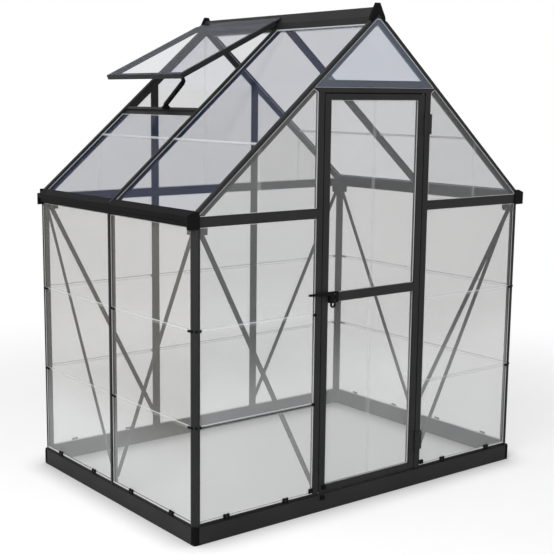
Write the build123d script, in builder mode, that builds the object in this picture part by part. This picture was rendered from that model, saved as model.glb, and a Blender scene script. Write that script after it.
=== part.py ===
from build123d import *
import os
from math import atan, cos, hypot, radians, sin

# Base: four channels joined by moulded corner pieces
base_width = 1850.0
base_depth = 1260.0
base_height = 72.0
base_wall = 2.0
base_top_flange = 23.0
base_bottom_flange = 8.0
corner_leg = 24.0
corner_chamfer = 8.0
corner_round = 6.0
corner_wall = 3.0
side_wall_inset = 4.0
gable_wall_inset = 10.0

# Heights of the walls and the roof, on the outer faces of the bars
eave_height = 1286.0
eave_setback = 6.0
ridge_height = 2065.0
tie_height = 40.0

# Bars of the frame, with depths measured inwards from the wall plane
bar_depth = 16.0
sheet_depth = 3.0
sheet_thickness = 2.0
groove_depth = 8.0
edge_play = 0.5
post_side_inset = 3.0
post_gable_inset = 5.0
post_leg = 26.0
post_flange = 34.0
post_chamfer = 17.0
rib_width = 13.0
rib_proud = 5.0
web_width = 5.0
flange_width = 37.0
rail_lip = 10.0
rail_flange = 12.0
back_stud_place = 306.0

# Rafters on the gables, with depths measured at right angles to the slope
rafter_web = 1.5
rafter_flange = 28.0
rafter_rib_proud = 10.0

# Gutter along each eave, measured out and up from the foot of its beam
notch_width = 7.0
notch_rise = 4.0
hook_rise = 8.0
hook_reach = 26.0
trough_reach = 32.0
step_rise = 22.0
step_height = 4.0
rim_rise = 46.0
trough_wall = 2.5
trough_rear_inset = 34.0
end_cap_thickness = 5.0
end_cap_round = 3.0
end_cap_drop = 6.0
end_cap_outer_rise = 4.0
end_cap_peak_rise = 16.0
end_cap_inner_rise = 1.0
end_cap_play = 3.0
sheet_overhang = 10.0
eave_bar_start = 26.0
eave_bar_end = 2.0
eave_bar_height = 12.0

# Ridge bar and its end caps, as half widths and as heights from the ridge line
crest_half = 9.5
crest_rise = 32.0
shoulder_half = 36.0
shoulder_drop = 7.0
wing_half = 40.0
wing_height = 9.0
sheet_seat = 16.0
foot_half = 26.0
foot_height = 5.5
cap_crest_half = 11.0
cap_rise = 49.0
cap_shoulder_half = 40.0
cap_shoulder_drop = 5.0
cap_side_half = 44.0
cap_side_height = 7.0
cap_foot_half = 35.0
cap_thickness = 10.0

# Door opening in the front gable
stud_inner = 287.0
stud_width = 31.0
header_depth = 20.0
header_lip = 18.0
header_web = 10.0
header_flange = 50.0
header_setback = 13.0
stop_lap = 10.0
stop_drop = 13.0
stop_thickness = 3.0
stop_clearance = 5.0

# Door leaf
door_gap = 5.5
door_foot_gap = 6.0
door_head_gap = 5.0
door_depth = 22.0
stile_width = 32.0
top_rail_height = 25.0
middle_rail_height = 37.0
middle_rail_center = 912.5
bottom_rail_height = 28.0
door_sheet_depth = 10.0

# Door hinges
hinge_inset_bottom = 126.0
hinge_inset_top = 127.5
hinge_height = 86.0
knuckle_height = 34.0
knuckle_gap = 0.5
barrel_radius = 5.5
pin_radius = 2.8
pin_play = 0.08
axis_proud = 6.0
leaf_thickness = 3.0
leaf_gap = 1.0
leaf_overhang = 8.0

# Door latch
latch_width = 45.0
latch_height = 46.0
latch_depth = 15.0
lever_reach = 111.0
lever_rise = 22.5
lever_root_height = 16.0
lever_tip_height = 8.0
lever_thickness = 8.0
ring_radius = 8.0
ring_wire = 2.0
ring_share = 0.45

# Diagonal braces, flat bars on the inner faces of the bars
brace_width = 21.0
brace_thickness = 3.0
brace_top_inset = 37.5
brace_top_drop = 12.0
brace_foot_rise = 41.0
side_brace_top_inset = 34.0
side_brace_top_drop = 26.0
side_brace_foot = 14.0
bracket_width = 44.0
bracket_height = 32.0
bracket_thickness = 3.0

# Joint strips between the sheets
wall_joint_shares = (0.337, 0.658)
roof_joint_run = 790.0
strip_half = 8.0
strip_thickness = 1.5
strip_web = 1.0

# Roof vent, standing open over the rear bay of the left slope
sill_run = 599.0
sill_width = 16.0
sill_proud = 6.0
sill_flange = 42.0
sill_flange_thickness = 1.5
sill_seat = 12.0
sill_foot = 26.0
vent_opening_angle = 15.1
vent_gap = 10.0
vent_start_rise = 4.0
vent_length = 568.0
vent_overlap_front = 6.0
vent_overlap_back = 14.0
vent_bar_depth = 23.0
vent_bar_width = 20.0
vent_hinge_width = 24.0
vent_sheet_play = 1.0
vent_lip_thickness = 4.0
stay_width = 16.0
stay_thickness = 5.0
stay_vent_y = 12.0
stay_vent_inset = 13.0
stay_drop = 18.0
stay_sill_y = 258.0
stay_rise = 14.0
stay_foot_length = 40.0
stay_head_length = 12.0

# Places that follow from the sizes above
BOTH = (-1, 1)
half_width = base_width / 2
half_depth = base_depth / 2
wall_x = half_width - side_wall_inset
wall_y = half_depth - gable_wall_inset
inner_x = wall_x - bar_depth
inner_y = wall_y - bar_depth
pitch = (ridge_height - eave_height) / (wall_x - eave_setback)
roof_angle = atan(pitch)
tie_bottom = eave_height - tie_height
sheet_back = sheet_depth + sheet_thickness
sheet_top_depth = rafter_web + edge_play
post_x = half_width - post_side_inset
post_y = half_depth - post_gable_inset
post_edge_x = post_x - post_leg
post_edge_y = post_y - post_leg
post_inner_x = post_x - post_flange
post_inner_y = post_y - post_flange
sheet_edge_x = post_edge_x + groove_depth - edge_play
sheet_edge_y = post_edge_y + groove_depth - edge_play
sheet_bottom = base_height + rail_lip - groove_depth + edge_play
sheet_top = tie_bottom + groove_depth - edge_play
web_edge = web_width / 2 + edge_play
flange_half = flange_width / 2
stud_outer = stud_inner + stud_width
stud_sheet_edge = stud_outer - groove_depth + edge_play
roof_sheet_edge = inner_y + groove_depth - edge_play
header_top = ridge_height - pitch * stud_outer - header_depth / cos(roof_angle)
header_bottom = header_top - header_lip
header_seat = header_bottom + header_web
gable_joint = (stud_outer + inner_x) / 2
wall_joint_heights = [sheet_bottom + share * (sheet_top - sheet_bottom) for share in wall_joint_shares]
vent_start = cap_side_half + vent_gap
vent_front = -vent_overlap_front
vent_back = inner_y + vent_overlap_back
vent_angle = roof_angle - radians(vent_opening_angle)


def prism_x(points, start, end, mode=Mode.ADD):
    """Run the outline through (Y, Z) points from X = start to X = end."""
    with BuildSketch(Plane.YZ.offset(start)) as section:
        with BuildLine():
            Polyline(*points, close=True)
        make_face()
    extrude(section.sketch, amount=end - start, mode=mode)


def prism_y(points, start, end, mode=Mode.ADD):
    """Run the outline through (X, Z) points from Y = start to Y = end."""
    with BuildSketch(Plane.XZ.offset(-end)) as section:
        with BuildLine():
            Polyline(*points, close=True)
        make_face()
    extrude(section.sketch, amount=end - start, mode=mode)


def prism_z(points, start, end, mode=Mode.ADD):
    """Run the outline through (X, Y) points from Z = start to Z = end."""
    with BuildSketch(Plane.XY.offset(start)) as section:
        with BuildLine():
            Polyline(*points, close=True)
        make_face()
    extrude(section.sketch, amount=end - start, mode=mode)


def rectangle(left, bottom, right, top):
    """Return the corners of an upright rectangle."""
    return [(left, bottom), (right, bottom), (right, top), (left, top)]


def flip(points):
    """Return an (X, Z) outline of the right slope carried over to the left slope."""
    return [(-x, z) for x, z in points]


def bar_outline(start, end, width):
    """Return the corners of a flat bar between two points."""
    length = hypot(end[0] - start[0], end[1] - start[1])
    across = (start[1] - end[1]) / length * width / 2
    along = (end[0] - start[0]) / length * width / 2
    return [
        (start[0] + across, start[1] + along),
        (end[0] + across, end[1] + along),
        (end[0] - across, end[1] - along),
        (start[0] - across, start[1] - along),
    ]


def roof_height(x, depth):
    """Return the height of the slope at X, a depth below its outer face."""
    return ridge_height - pitch * abs(x) - depth / cos(roof_angle)


def roof_reach(height, depth):
    """Return the X at which the right slope, a depth below its outer face, has a height."""
    return (ridge_height - depth / cos(roof_angle) - height) / pitch


def roof_run(x, depth):
    """Return the run down the right slope of the point at X and a depth."""
    return (x + depth * sin(roof_angle)) / cos(roof_angle)


def slope_point(run, depth):
    """Return the point at a run down the right slope and a depth below its outer face."""
    return (
        run * cos(roof_angle) - depth * sin(roof_angle),
        ridge_height - run * sin(roof_angle) - depth * cos(roof_angle),
    )


def slope_block(start, end, top, bottom):
    """Return a block of the right slope with its ends square to the slope."""
    return [
        slope_point(start, top),
        slope_point(end, top),
        slope_point(end, bottom),
        slope_point(start, bottom),
    ]


def slope_band(start, end, top, bottom):
    """Return a band of the right slope with upright ends at two values of X."""
    return [
        (start, roof_height(start, top)),
        (end, roof_height(end, top)),
        (end, roof_height(end, bottom)),
        (start, roof_height(start, bottom)),
    ]


def vent_point(run, depth):
    """Return the point at a run down the open vent and a depth below its outer face."""
    return (
        -(vent_start + run * cos(vent_angle) - depth * sin(vent_angle)),
        ridge_height + vent_start_rise - run * sin(vent_angle) - depth * cos(vent_angle),
    )


def vent_block(start, end, top, bottom):
    """Return a block of the open vent with its ends square to it."""
    return [
        vent_point(start, top),
        vent_point(end, top),
        vent_point(end, bottom),
        vent_point(start, bottom),
    ]


# H bar of the middle posts and back studs, as (across, depth): rib, web and inner flange
h_bar = [
    (-rib_width / 2, -rib_proud),
    (rib_width / 2, -rib_proud),
    (rib_width / 2, sheet_depth),
    (web_width / 2, sheet_depth),
    (web_width / 2, sheet_back),
    (flange_half, sheet_back),
    (flange_half, bar_depth),
    (-flange_half, bar_depth),
    (-flange_half, sheet_back),
    (-web_width / 2, sheet_back),
    (-web_width / 2, sheet_depth),
    (-rib_width / 2, sheet_depth),
]

# Rail on the base, as (depth, height): a low outer lip, the sheet's groove and a taller flange
rail_groove = base_height + rail_lip - groove_depth
rail_bar = [
    (0, base_height),
    (bar_depth, base_height),
    (bar_depth, base_height + rail_flange),
    (sheet_back, base_height + rail_flange),
    (sheet_back, rail_groove),
    (sheet_depth, rail_groove),
    (sheet_depth, base_height + rail_lip),
    (0, base_height + rail_lip),
]

# Tie at the eaves, as (depth, height), with a groove for a sheet below and above
tie_bar = [
    (0, tie_bottom),
    (sheet_depth, tie_bottom),
    (sheet_depth, tie_bottom + groove_depth),
    (sheet_back, tie_bottom + groove_depth),
    (sheet_back, tie_bottom),
    (bar_depth, tie_bottom),
    (bar_depth, eave_height),
    (sheet_back, eave_height),
    (sheet_back, eave_height - groove_depth),
    (sheet_depth, eave_height - groove_depth),
    (sheet_depth, eave_height),
    (0, eave_height),
]

# Base channels
base_channel = [
    (0, 0),
    (base_bottom_flange, 0),
    (base_bottom_flange, base_wall),
    (base_wall, base_wall),
    (base_wall, base_height - base_wall),
    (base_top_flange, base_height - base_wall),
    (base_top_flange, base_height),
    (0, base_height),
]
run_x = half_width - corner_leg
run_y = half_depth - corner_leg
with BuildPart() as base_sides:
    for side in BOTH:
        prism_x([(side * (half_depth - u), z) for u, z in base_channel], -run_x, run_x)
        prism_y([(side * (half_width - u), z) for u, z in base_channel], -run_y, run_y)

# Base corners: hollow blocks with a rounded chamfer, closed on top
with BuildPart() as base_corners:
    with BuildSketch() as corner_outline:
        with BuildLine():
            Polyline(
                (run_x, run_y),
                (half_width, run_y),
                (half_width, half_depth - corner_chamfer),
                (half_width - corner_chamfer, half_depth),
                (run_x, half_depth),
                close=True,
            )
        make_face()
        chamfer_corners = corner_outline.vertices().sort_by(Axis((0, 0, 0), (1, 1, 0)))[-2:]
        fillet(chamfer_corners, radius=corner_round)
    extrude(amount=base_height)
    offset(amount=-corner_wall, openings=base_corners.faces().sort_by(Axis.Z)[0])
    mirror(about=Plane.YZ)
    mirror(about=Plane.XZ)

# Corner posts, chamfered on the outside and cut back under the gutter caps
post_bar = [
    (post_x - post_chamfer, post_y),
    (post_edge_x, post_y),
    (post_edge_x, wall_y - sheet_depth),
    (post_edge_x + groove_depth, wall_y - sheet_depth),
    (post_edge_x + groove_depth, wall_y - sheet_back),
    (post_inner_x, wall_y - sheet_back),
    (post_inner_x, inner_y),
    (inner_x, inner_y),
    (inner_x, post_inner_y),
    (wall_x - sheet_back, post_inner_y),
    (wall_x - sheet_back, post_edge_y + groove_depth),
    (wall_x - sheet_depth, post_edge_y + groove_depth),
    (wall_x - sheet_depth, post_edge_y),
    (post_x, post_edge_y),
    (post_x, post_y - post_chamfer),
]
cap_foot_height = tie_bottom - end_cap_drop
cap_seat = rectangle(wall_y, cap_foot_height, post_y, tie_bottom)
with BuildPart() as corner_posts:
    prism_z(post_bar, base_height, tie_bottom)
    prism_x(cap_seat, post_edge_x, post_x, Mode.SUBTRACT)
    mirror(about=Plane.YZ)
    mirror(about=Plane.XZ)

# Middle posts of the eave walls
with BuildPart() as mid_posts:
    for side in BOTH:
        prism_z([(side * (wall_x - depth), y) for y, depth in h_bar], base_height, tie_bottom)

# Studs beside the door, cut under the rafters' flanges
stud_bar = [
    (stud_inner, 0),
    (stud_outer, 0),
    (stud_outer, sheet_depth),
    (stud_outer - groove_depth, sheet_depth),
    (stud_outer - groove_depth, sheet_back),
    (stud_outer, sheet_back),
    (stud_outer, bar_depth),
    (stud_inner, bar_depth),
]
rafter_under = slope_band(0, wall_x, 0, rafter_flange)
with BuildPart() as door_studs:
    prism_z([(x, depth - wall_y) for x, depth in stud_bar], base_height, header_bottom)
    prism_y(rafter_under, sheet_back - wall_y, -inner_y, Mode.SUBTRACT)
    mirror(about=Plane.YZ)


def stud_outline(place, half, depth):
    """Return a stud's upright outline from the base to the rafter, a depth below the slope."""
    return [
        (place - half, base_height),
        (place + half, base_height),
        (place + half, roof_height(place + half, depth)),
        (place - half, roof_height(place - half, depth)),
    ]


# Studs of the back gable: rib, web and flange each end at their own part of the rafter
with BuildPart() as back_studs:
    rib = stud_outline(back_stud_place, rib_width / 2, sheet_back)
    web = stud_outline(back_stud_place, web_width / 2, sheet_back)
    flange = stud_outline(back_stud_place, flange_half, rafter_flange)
    prism_y(rib, wall_y - sheet_depth, wall_y + rib_proud)
    prism_y(web, wall_y - sheet_back, wall_y - sheet_depth)
    prism_y(flange, inner_y, wall_y - sheet_back)
    mirror(about=Plane.YZ)

# Rails on the base
with BuildPart() as bottom_rails_front:
    prism_x([(depth - wall_y, z) for depth, z in rail_bar], stud_outer, post_edge_x)
    add(corner_posts.part, mode=Mode.SUBTRACT)
    mirror(about=Plane.YZ)

with BuildPart() as bottom_rails_back:
    prism_x([(wall_y - depth, z) for depth, z in rail_bar], -post_edge_x, post_edge_x)
    add(back_studs.part, mode=Mode.SUBTRACT)
    add(corner_posts.part, mode=Mode.SUBTRACT)

with BuildPart() as bottom_rails_right:
    prism_y([(wall_x - depth, z) for depth, z in rail_bar], -post_edge_y, post_edge_y)
    add(mid_posts.part, mode=Mode.SUBTRACT)
    add(corner_posts.part, mode=Mode.SUBTRACT)

with BuildPart() as bottom_rails_left:
    mirror(bottom_rails_right.part, about=Plane.YZ)

# Ties across the gables at eave height
with BuildPart() as eave_ties_front:
    prism_x([(depth - wall_y, z) for depth, z in tie_bar], stud_outer, inner_x)
    mirror(about=Plane.YZ)

with BuildPart() as eave_ties_back:
    prism_x([(wall_y - depth, z) for depth, z in tie_bar], -inner_x, inner_x)
    add(back_studs.part, mode=Mode.SUBTRACT)

# Gutters: the eave beam carries the roof sheets, the hooked trough hangs outside it
trough_floor = tie_bottom + notch_rise + trough_wall
step_foot = tie_bottom + step_rise
beam_outline = [
    (inner_x, tie_bottom),
    (wall_x - sheet_back, tie_bottom),
    (wall_x - sheet_back, tie_bottom + groove_depth),
    (wall_x - sheet_depth, tie_bottom + groove_depth),
    (wall_x - sheet_depth, tie_bottom),
    (wall_x, tie_bottom),
    (wall_x, roof_height(wall_x, sheet_back)),
    (inner_x, roof_height(inner_x, sheet_back)),
]
hook_foot = tie_bottom + hook_rise
trough_outline = [
    (wall_x, tie_bottom + notch_rise),
    (wall_x + notch_width, tie_bottom + notch_rise),
    (wall_x + notch_width, hook_foot),
    (wall_x + hook_reach, hook_foot),
    (wall_x + hook_reach, step_foot),
    (wall_x + trough_reach, step_foot + step_height),
    (wall_x + trough_reach, tie_bottom + rim_rise),
    (wall_x + trough_reach - trough_wall, tie_bottom + rim_rise),
    (wall_x + trough_reach - trough_wall, step_foot + step_height + trough_wall / 2),
    (wall_x + hook_reach - trough_wall, step_foot + trough_wall / 2),
    (wall_x + hook_reach - trough_wall, hook_foot + trough_wall),
    (wall_x + notch_width - trough_wall, hook_foot + trough_wall),
    (wall_x + notch_width - trough_wall, trough_floor),
    (wall_x, trough_floor),
]
eave_bar = slope_block(
    roof_run(wall_x - eave_bar_start, sheet_depth),
    roof_run(wall_x - eave_bar_end, sheet_depth),
    sheet_depth - eave_bar_height,
    sheet_depth,
)
trough_rear = wall_y - trough_rear_inset
with BuildPart() as gutter_right:
    prism_y(beam_outline, -wall_y, wall_y)
    prism_y(trough_outline, -wall_y, trough_rear)
    prism_y(eave_bar, rib_width / 2, inner_y)
    prism_y(eave_bar, -inner_y, -rib_width / 2)

with BuildPart() as gutter_left:
    mirror(gutter_right.part, about=Plane.YZ)

# Moulded caps over the gutter ends and the post heads, with brackets at the heads of the braces
rim_height = tie_bottom + rim_rise
cap_inner_top = rim_height + end_cap_inner_rise
cap_peak = rim_height + end_cap_peak_rise
front_cap = [
    (post_edge_x, cap_foot_height),
    (wall_x + trough_reach, cap_foot_height),
    (wall_x + trough_reach, rim_height + end_cap_outer_rise),
    (wall_x, cap_peak),
    (inner_x, cap_peak),
    (post_edge_x, cap_inner_top),
]
post_head_cap = [
    (post_edge_x, cap_foot_height),
    (post_x, cap_foot_height),
    (post_x, cap_peak),
    (inner_x, cap_peak),
    (post_edge_x, cap_inner_top),
]
cap_notch_x = wall_x + sheet_overhang + end_cap_play
cap_notch_height = roof_height(wall_x + sheet_overhang, sheet_back) - end_cap_play
trough_cap = [
    (wall_x, cap_foot_height),
    (wall_x + trough_reach, cap_foot_height),
    (wall_x + trough_reach, rim_height),
    (cap_notch_x, rim_height),
    (cap_notch_x, cap_notch_height),
    (wall_x, cap_notch_height),
]
cap_places = (
    (front_cap, -wall_y - end_cap_thickness),
    (post_head_cap, wall_y),
    (trough_cap, trough_rear),
)
bracket_foot = tie_bottom - bracket_height
gable_bracket = rectangle(post_inner_x - bracket_width, bracket_foot, post_inner_x, tie_bottom)
side_bracket = rectangle(post_inner_y - bracket_width, bracket_foot, post_inner_y, tie_bottom)
bracket_back_x = inner_x - brace_thickness
bracket_back_y = inner_y - brace_thickness
with BuildPart() as gutter_end_caps:
    for end in BOTH:
        gable_span = sorted((end * (bracket_back_y - bracket_thickness), end * bracket_back_y))
        prism_y(gable_bracket, *gable_span)
        corner_bracket = [(end * y, z) for y, z in side_bracket]
        prism_x(corner_bracket, bracket_back_x - bracket_thickness, bracket_back_x)
    for outline, near in cap_places:
        with BuildSketch(Plane.XZ.offset(-near)) as cap_section:
            with BuildLine():
                Polyline(*outline, close=True)
            make_face()
            fillet(cap_section.vertices(), radius=end_cap_round)
        extrude(cap_section.sketch, amount=-end_cap_thickness)
    mirror(about=Plane.YZ)

# Door header: a low front lip, the sheet's seat, a taller flange and a stop behind the door
with BuildPart() as door_header:
    lip_head = roof_reach(header_top, sheet_back)
    lip = [
        (-stud_outer, header_bottom),
        (stud_outer, header_bottom),
        (lip_head, header_top),
        (-lip_head, header_top),
    ]
    web_half = stud_outer - header_setback
    seat = rectangle(-web_half, header_bottom, web_half, header_seat)
    foot = roof_reach(header_bottom, rafter_flange)
    head = roof_reach(header_bottom + header_flange, rafter_flange)
    flange = [
        (-foot, header_bottom),
        (foot, header_bottom),
        (head, header_bottom + header_flange),
        (-head, header_bottom + header_flange),
    ]
    stop_face = door_depth + stop_clearance - wall_y
    stop_half = stud_inner + stop_lap
    stop_head = header_bottom + stop_thickness
    shelf = rectangle(-stop_half, header_bottom, stop_half, stop_head)
    stop = rectangle(-stop_half, header_bottom - stop_drop, stop_half, stop_head)
    prism_y(lip, -wall_y, sheet_depth - wall_y)
    prism_y(seat, sheet_depth - wall_y, sheet_back - wall_y)
    prism_y(flange, sheet_back - wall_y, -inner_y)
    prism_y(shelf, -inner_y, stop_face)
    prism_y(stop, stop_face, stop_face + stop_thickness)

# Flange of a gable rafter, seated on the tie and the gutter
rafter_flange_outline = [
    (0, ridge_height),
    (wall_x, roof_height(wall_x, 0)),
    (wall_x, roof_height(wall_x, sheet_back)),
    (inner_x, roof_height(inner_x, sheet_back)),
    (inner_x, eave_height),
    (roof_reach(eave_height, rafter_flange), eave_height),
    (0, roof_height(0, rafter_flange)),
]

# Rafters: one on each gable and an H bar in the middle
with BuildPart() as rafters_right:
    for end in BOTH:
        layers = (
            (slope_band(0, wall_x, 0, sheet_back), wall_y - sheet_depth, wall_y),
            (slope_band(0, wall_x, 0, rafter_web), wall_y - sheet_back, wall_y - sheet_depth),
            (rafter_flange_outline, inner_y, wall_y - sheet_back),
        )
        for points, near, far in layers:
            prism_y(points, *sorted((end * near, end * far)))
        groove = sorted((end * inner_y, end * (inner_y + groove_depth)))
        prism_y(slope_band(0, wall_x, sheet_depth, sheet_back), *groove, Mode.SUBTRACT)
        rib = slope_band(cap_side_half, wall_x, -rafter_rib_proud, 0)
        prism_y(rib, *sorted((end * inner_y, end * wall_y)))
    prism_y(slope_band(wing_half, wall_x, -rafter_rib_proud, sheet_depth), -rib_width / 2, rib_width / 2)
    prism_y(slope_band(wing_half, wall_x, sheet_depth, sheet_back), -web_width / 2, web_width / 2)
    prism_y(slope_band(foot_half, inner_x, sheet_back, bar_depth), -flange_half, flange_half)

with BuildPart() as rafters_left:
    mirror(rafters_right.part, about=Plane.YZ)

# Ridge bar with a crest, two wings and a groove for the sheets on each side
ridge_side = [
    (crest_half, ridge_height + crest_rise),
    (shoulder_half, ridge_height - shoulder_drop),
    (wing_half, roof_height(wing_half, sheet_depth) + wing_height),
    (wing_half, roof_height(wing_half, sheet_depth)),
    (sheet_seat, roof_height(sheet_seat, sheet_depth)),
    (sheet_seat, roof_height(sheet_seat, sheet_back)),
    (foot_half, roof_height(foot_half, sheet_back)),
    (foot_half, roof_height(foot_half, sheet_back) - foot_height),
]
with BuildPart() as ridge:
    prism_y(ridge_side + flip(reversed(ridge_side)), -inner_y, inner_y)

# Caps over the ends of the ridge, resting on the gable rafters
cap_foot = roof_height(cap_foot_half, 0)
cap_side = [
    (cap_crest_half, ridge_height + cap_rise),
    (cap_shoulder_half, ridge_height - cap_shoulder_drop),
    (cap_side_half, cap_foot + cap_side_height),
    (cap_side_half, cap_foot),
    (cap_foot_half, cap_foot),
]
with BuildPart() as ridge_end_caps:
    prism_y(cap_side + [(0, ridge_height)] + flip(reversed(cap_side)), inner_y, inner_y + cap_thickness)
    mirror(about=Plane.XZ)

# Diagonal braces
brace_foot = base_height + brace_foot_rise
gable_brace = bar_outline(
    (wall_x - brace_top_inset, tie_bottom - brace_top_drop),
    (stud_inner + stud_width / 2, brace_foot),
    brace_width,
)
side_brace = bar_outline(
    (wall_y - side_brace_top_inset, tie_bottom - side_brace_top_drop),
    (side_brace_foot, brace_foot),
    brace_width,
)
with BuildPart() as braces_back:
    prism_y(gable_brace, inner_y - brace_thickness, inner_y)
    mirror(about=Plane.YZ)

with BuildPart() as braces_front:
    mirror(braces_back.part, about=Plane.XZ)

with BuildPart() as braces_right:
    prism_x(side_brace, inner_x - brace_thickness, inner_x)
    mirror(about=Plane.XZ)

with BuildPart() as braces_left:
    mirror(braces_right.part, about=Plane.YZ)

# Heights of the stacked wall sheets, parted by the webs of the joint strips
joint_edges = [height + side * strip_web for height in wall_joint_heights for side in BOTH]
sheet_levels = [sheet_bottom, *joint_edges, sheet_top]
sheet_rows = list(zip(sheet_levels[0::2], sheet_levels[1::2]))

with BuildPart() as wall_sheets_right:
    for bottom, top in sheet_rows:
        prism_y(
            rectangle(wall_x - sheet_back, bottom, wall_x - sheet_depth, top), web_edge, sheet_edge_y
        )
    mirror(about=Plane.XZ)

with BuildPart() as wall_sheets_left:
    mirror(wall_sheets_right.part, about=Plane.YZ)

with BuildPart() as wall_sheets_front:
    for bottom, top in sheet_rows:
        prism_x(
            rectangle(sheet_depth - wall_y, bottom, sheet_back - wall_y, top),
            stud_sheet_edge,
            sheet_edge_x,
        )
    mirror(about=Plane.YZ)

back_sheet = (wall_y - sheet_back, wall_y - sheet_depth)
stud_web_near = back_stud_place - web_edge
stud_web_far = back_stud_place + web_edge
with BuildPart() as wall_sheets_back:
    for bottom, top in sheet_rows:
        prism_y(rectangle(-stud_web_near, bottom, stud_web_near, top), *back_sheet)
        prism_y(rectangle(stud_web_far, bottom, sheet_edge_x, top), *back_sheet)
        prism_y(rectangle(-sheet_edge_x, bottom, -stud_web_far, top), *back_sheet)

# Sheets of the gables above the ties, parted by upright strips
gable_foot = eave_height - groove_depth + edge_play
gable_side = inner_x - edge_play
joint_near = gable_joint - strip_web
joint_far = gable_joint + strip_web


def gable_sheet(left, right):
    """Return a gable sheet's outline between two values of X, cut under the rafter."""
    return [
        (left, gable_foot),
        (right, gable_foot),
        (right, roof_height(right, sheet_top_depth)),
        (left, roof_height(left, sheet_top_depth)),
    ]


side_sheet_top = header_bottom + header_web / 2
door_side_sheet = [
    (stud_sheet_edge, gable_foot),
    (joint_near, gable_foot),
    (joint_near, roof_height(joint_near, sheet_top_depth)),
    (roof_reach(side_sheet_top, sheet_top_depth), side_sheet_top),
    (stud_sheet_edge, side_sheet_top),
]
crown_foot = header_seat + edge_play
crown_sheet = [
    (-roof_reach(crown_foot, sheet_top_depth), crown_foot),
    (roof_reach(crown_foot, sheet_top_depth), crown_foot),
    (0, roof_height(0, sheet_top_depth)),
]
front_sheet = (sheet_depth - wall_y, sheet_back - wall_y)
with BuildPart() as gable_sheets_front:
    prism_y(door_side_sheet, *front_sheet)
    prism_y(gable_sheet(joint_far, gable_side), *front_sheet)
    mirror(about=Plane.YZ)
    prism_y(crown_sheet, *front_sheet)

with BuildPart() as gable_sheets_back:
    prism_y(gable_sheet(strip_web, stud_web_near), *back_sheet)
    prism_y(gable_sheet(stud_web_far, joint_near), *back_sheet)
    prism_y(gable_sheet(joint_far, gable_side), *back_sheet)
    mirror(about=Plane.YZ)

# Roof sheets, parted by a strip across each slope; the rear left bay starts below the vent
sheet_start = roof_run(sheet_seat + edge_play, sheet_back)
sheet_end = roof_run(wall_x + sheet_overhang, sheet_back)
upper_sheet = slope_block(sheet_start, roof_joint_run - strip_web, sheet_depth, sheet_back)
lower_sheet = slope_block(roof_joint_run + strip_web, sheet_end, sheet_depth, sheet_back)
below_vent = sill_run + sill_seat + edge_play
vent_bay_sheet = slope_block(below_vent, roof_joint_run - strip_web, sheet_depth, sheet_back)
with BuildPart() as roof_sheets_right:
    prism_y(upper_sheet, web_edge, roof_sheet_edge)
    prism_y(lower_sheet, web_edge, roof_sheet_edge)
    mirror(about=Plane.XZ)

with BuildPart() as roof_sheets_left:
    prism_y(flip(upper_sheet), -roof_sheet_edge, -web_edge)
    prism_y(flip(lower_sheet), -roof_sheet_edge, -web_edge)
    prism_y(flip(vent_bay_sheet), web_edge, roof_sheet_edge)
    prism_y(flip(lower_sheet), web_edge, roof_sheet_edge)


def strip_section(center):
    """Return a joint strip's section as (place, depth): two flanges about a web."""
    outer = sheet_depth - strip_thickness
    inner = sheet_back + strip_thickness
    return [
        (center - strip_half, outer),
        (center + strip_half, outer),
        (center + strip_half, sheet_depth),
        (center + strip_web, sheet_depth),
        (center + strip_web, sheet_back),
        (center + strip_half, sheet_back),
        (center + strip_half, inner),
        (center - strip_half, inner),
        (center - strip_half, sheet_back),
        (center - strip_web, sheet_back),
        (center - strip_web, sheet_depth),
        (center - strip_half, sheet_depth),
    ]


# Joint strips: level ones on the walls, upright ones on the gables, one across each roof bay
stud_near = back_stud_place - flange_half
stud_far = back_stud_place + flange_half
with BuildPart() as sheet_joints:
    for place in (0, gable_joint):
        top = roof_height(place + strip_half, sheet_back)
        prism_z([(x, wall_y - depth) for x, depth in strip_section(place)], eave_height, top)
    front_joint = [(x, depth - wall_y) for x, depth in strip_section(gable_joint)]
    prism_z(front_joint, eave_height, roof_height(gable_joint + strip_half, sheet_back))
    for end in BOTH:
        flange_zone = sorted((end * inner_y, end * (wall_y - sheet_back)))
        for points in (rafter_under, flip(rafter_under)):
            prism_y(points, *flange_zone, Mode.SUBTRACT)
    mirror(about=Plane.YZ)
    for height in wall_joint_heights:
        section = strip_section(height)
        back_wall = [(wall_y - depth, z) for z, depth in section]
        prism_x(back_wall, -stud_near, stud_near)
        for side in BOTH:
            eave_wall = [(side * (wall_x - depth), z) for z, depth in section]
            prism_y(eave_wall, flange_half, post_inner_y)
            prism_y(eave_wall, -post_inner_y, -flange_half)
            front_wall = [(depth - wall_y, z) for z, depth in section]
            prism_x(front_wall, *sorted((side * stud_outer, side * post_inner_x)))
            prism_x(back_wall, *sorted((side * stud_far, side * post_inner_x)))
    roof_strip = [slope_point(run, depth) for run, depth in strip_section(roof_joint_run)]
    for points in (roof_strip, flip(roof_strip)):
        prism_y(points, flange_half, inner_y)
        prism_y(points, -inner_y, -flange_half)

# Sill under the vent: an upstand with a flange over the sheet below it
sill_bar = [
    (0, -sill_proud),
    (sill_width, -sill_proud),
    (sill_width, sheet_depth - sill_flange_thickness),
    (sill_flange, sheet_depth - sill_flange_thickness),
    (sill_flange, sheet_depth),
    (sill_seat, sheet_depth),
    (sill_seat, sheet_back),
    (sill_foot, sheet_back),
    (sill_foot, bar_depth),
    (0, bar_depth),
]
with BuildPart() as vent_sill:
    prism_y(flip(slope_point(sill_run + run, depth) for run, depth in sill_bar), flange_half, inner_y)


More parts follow.
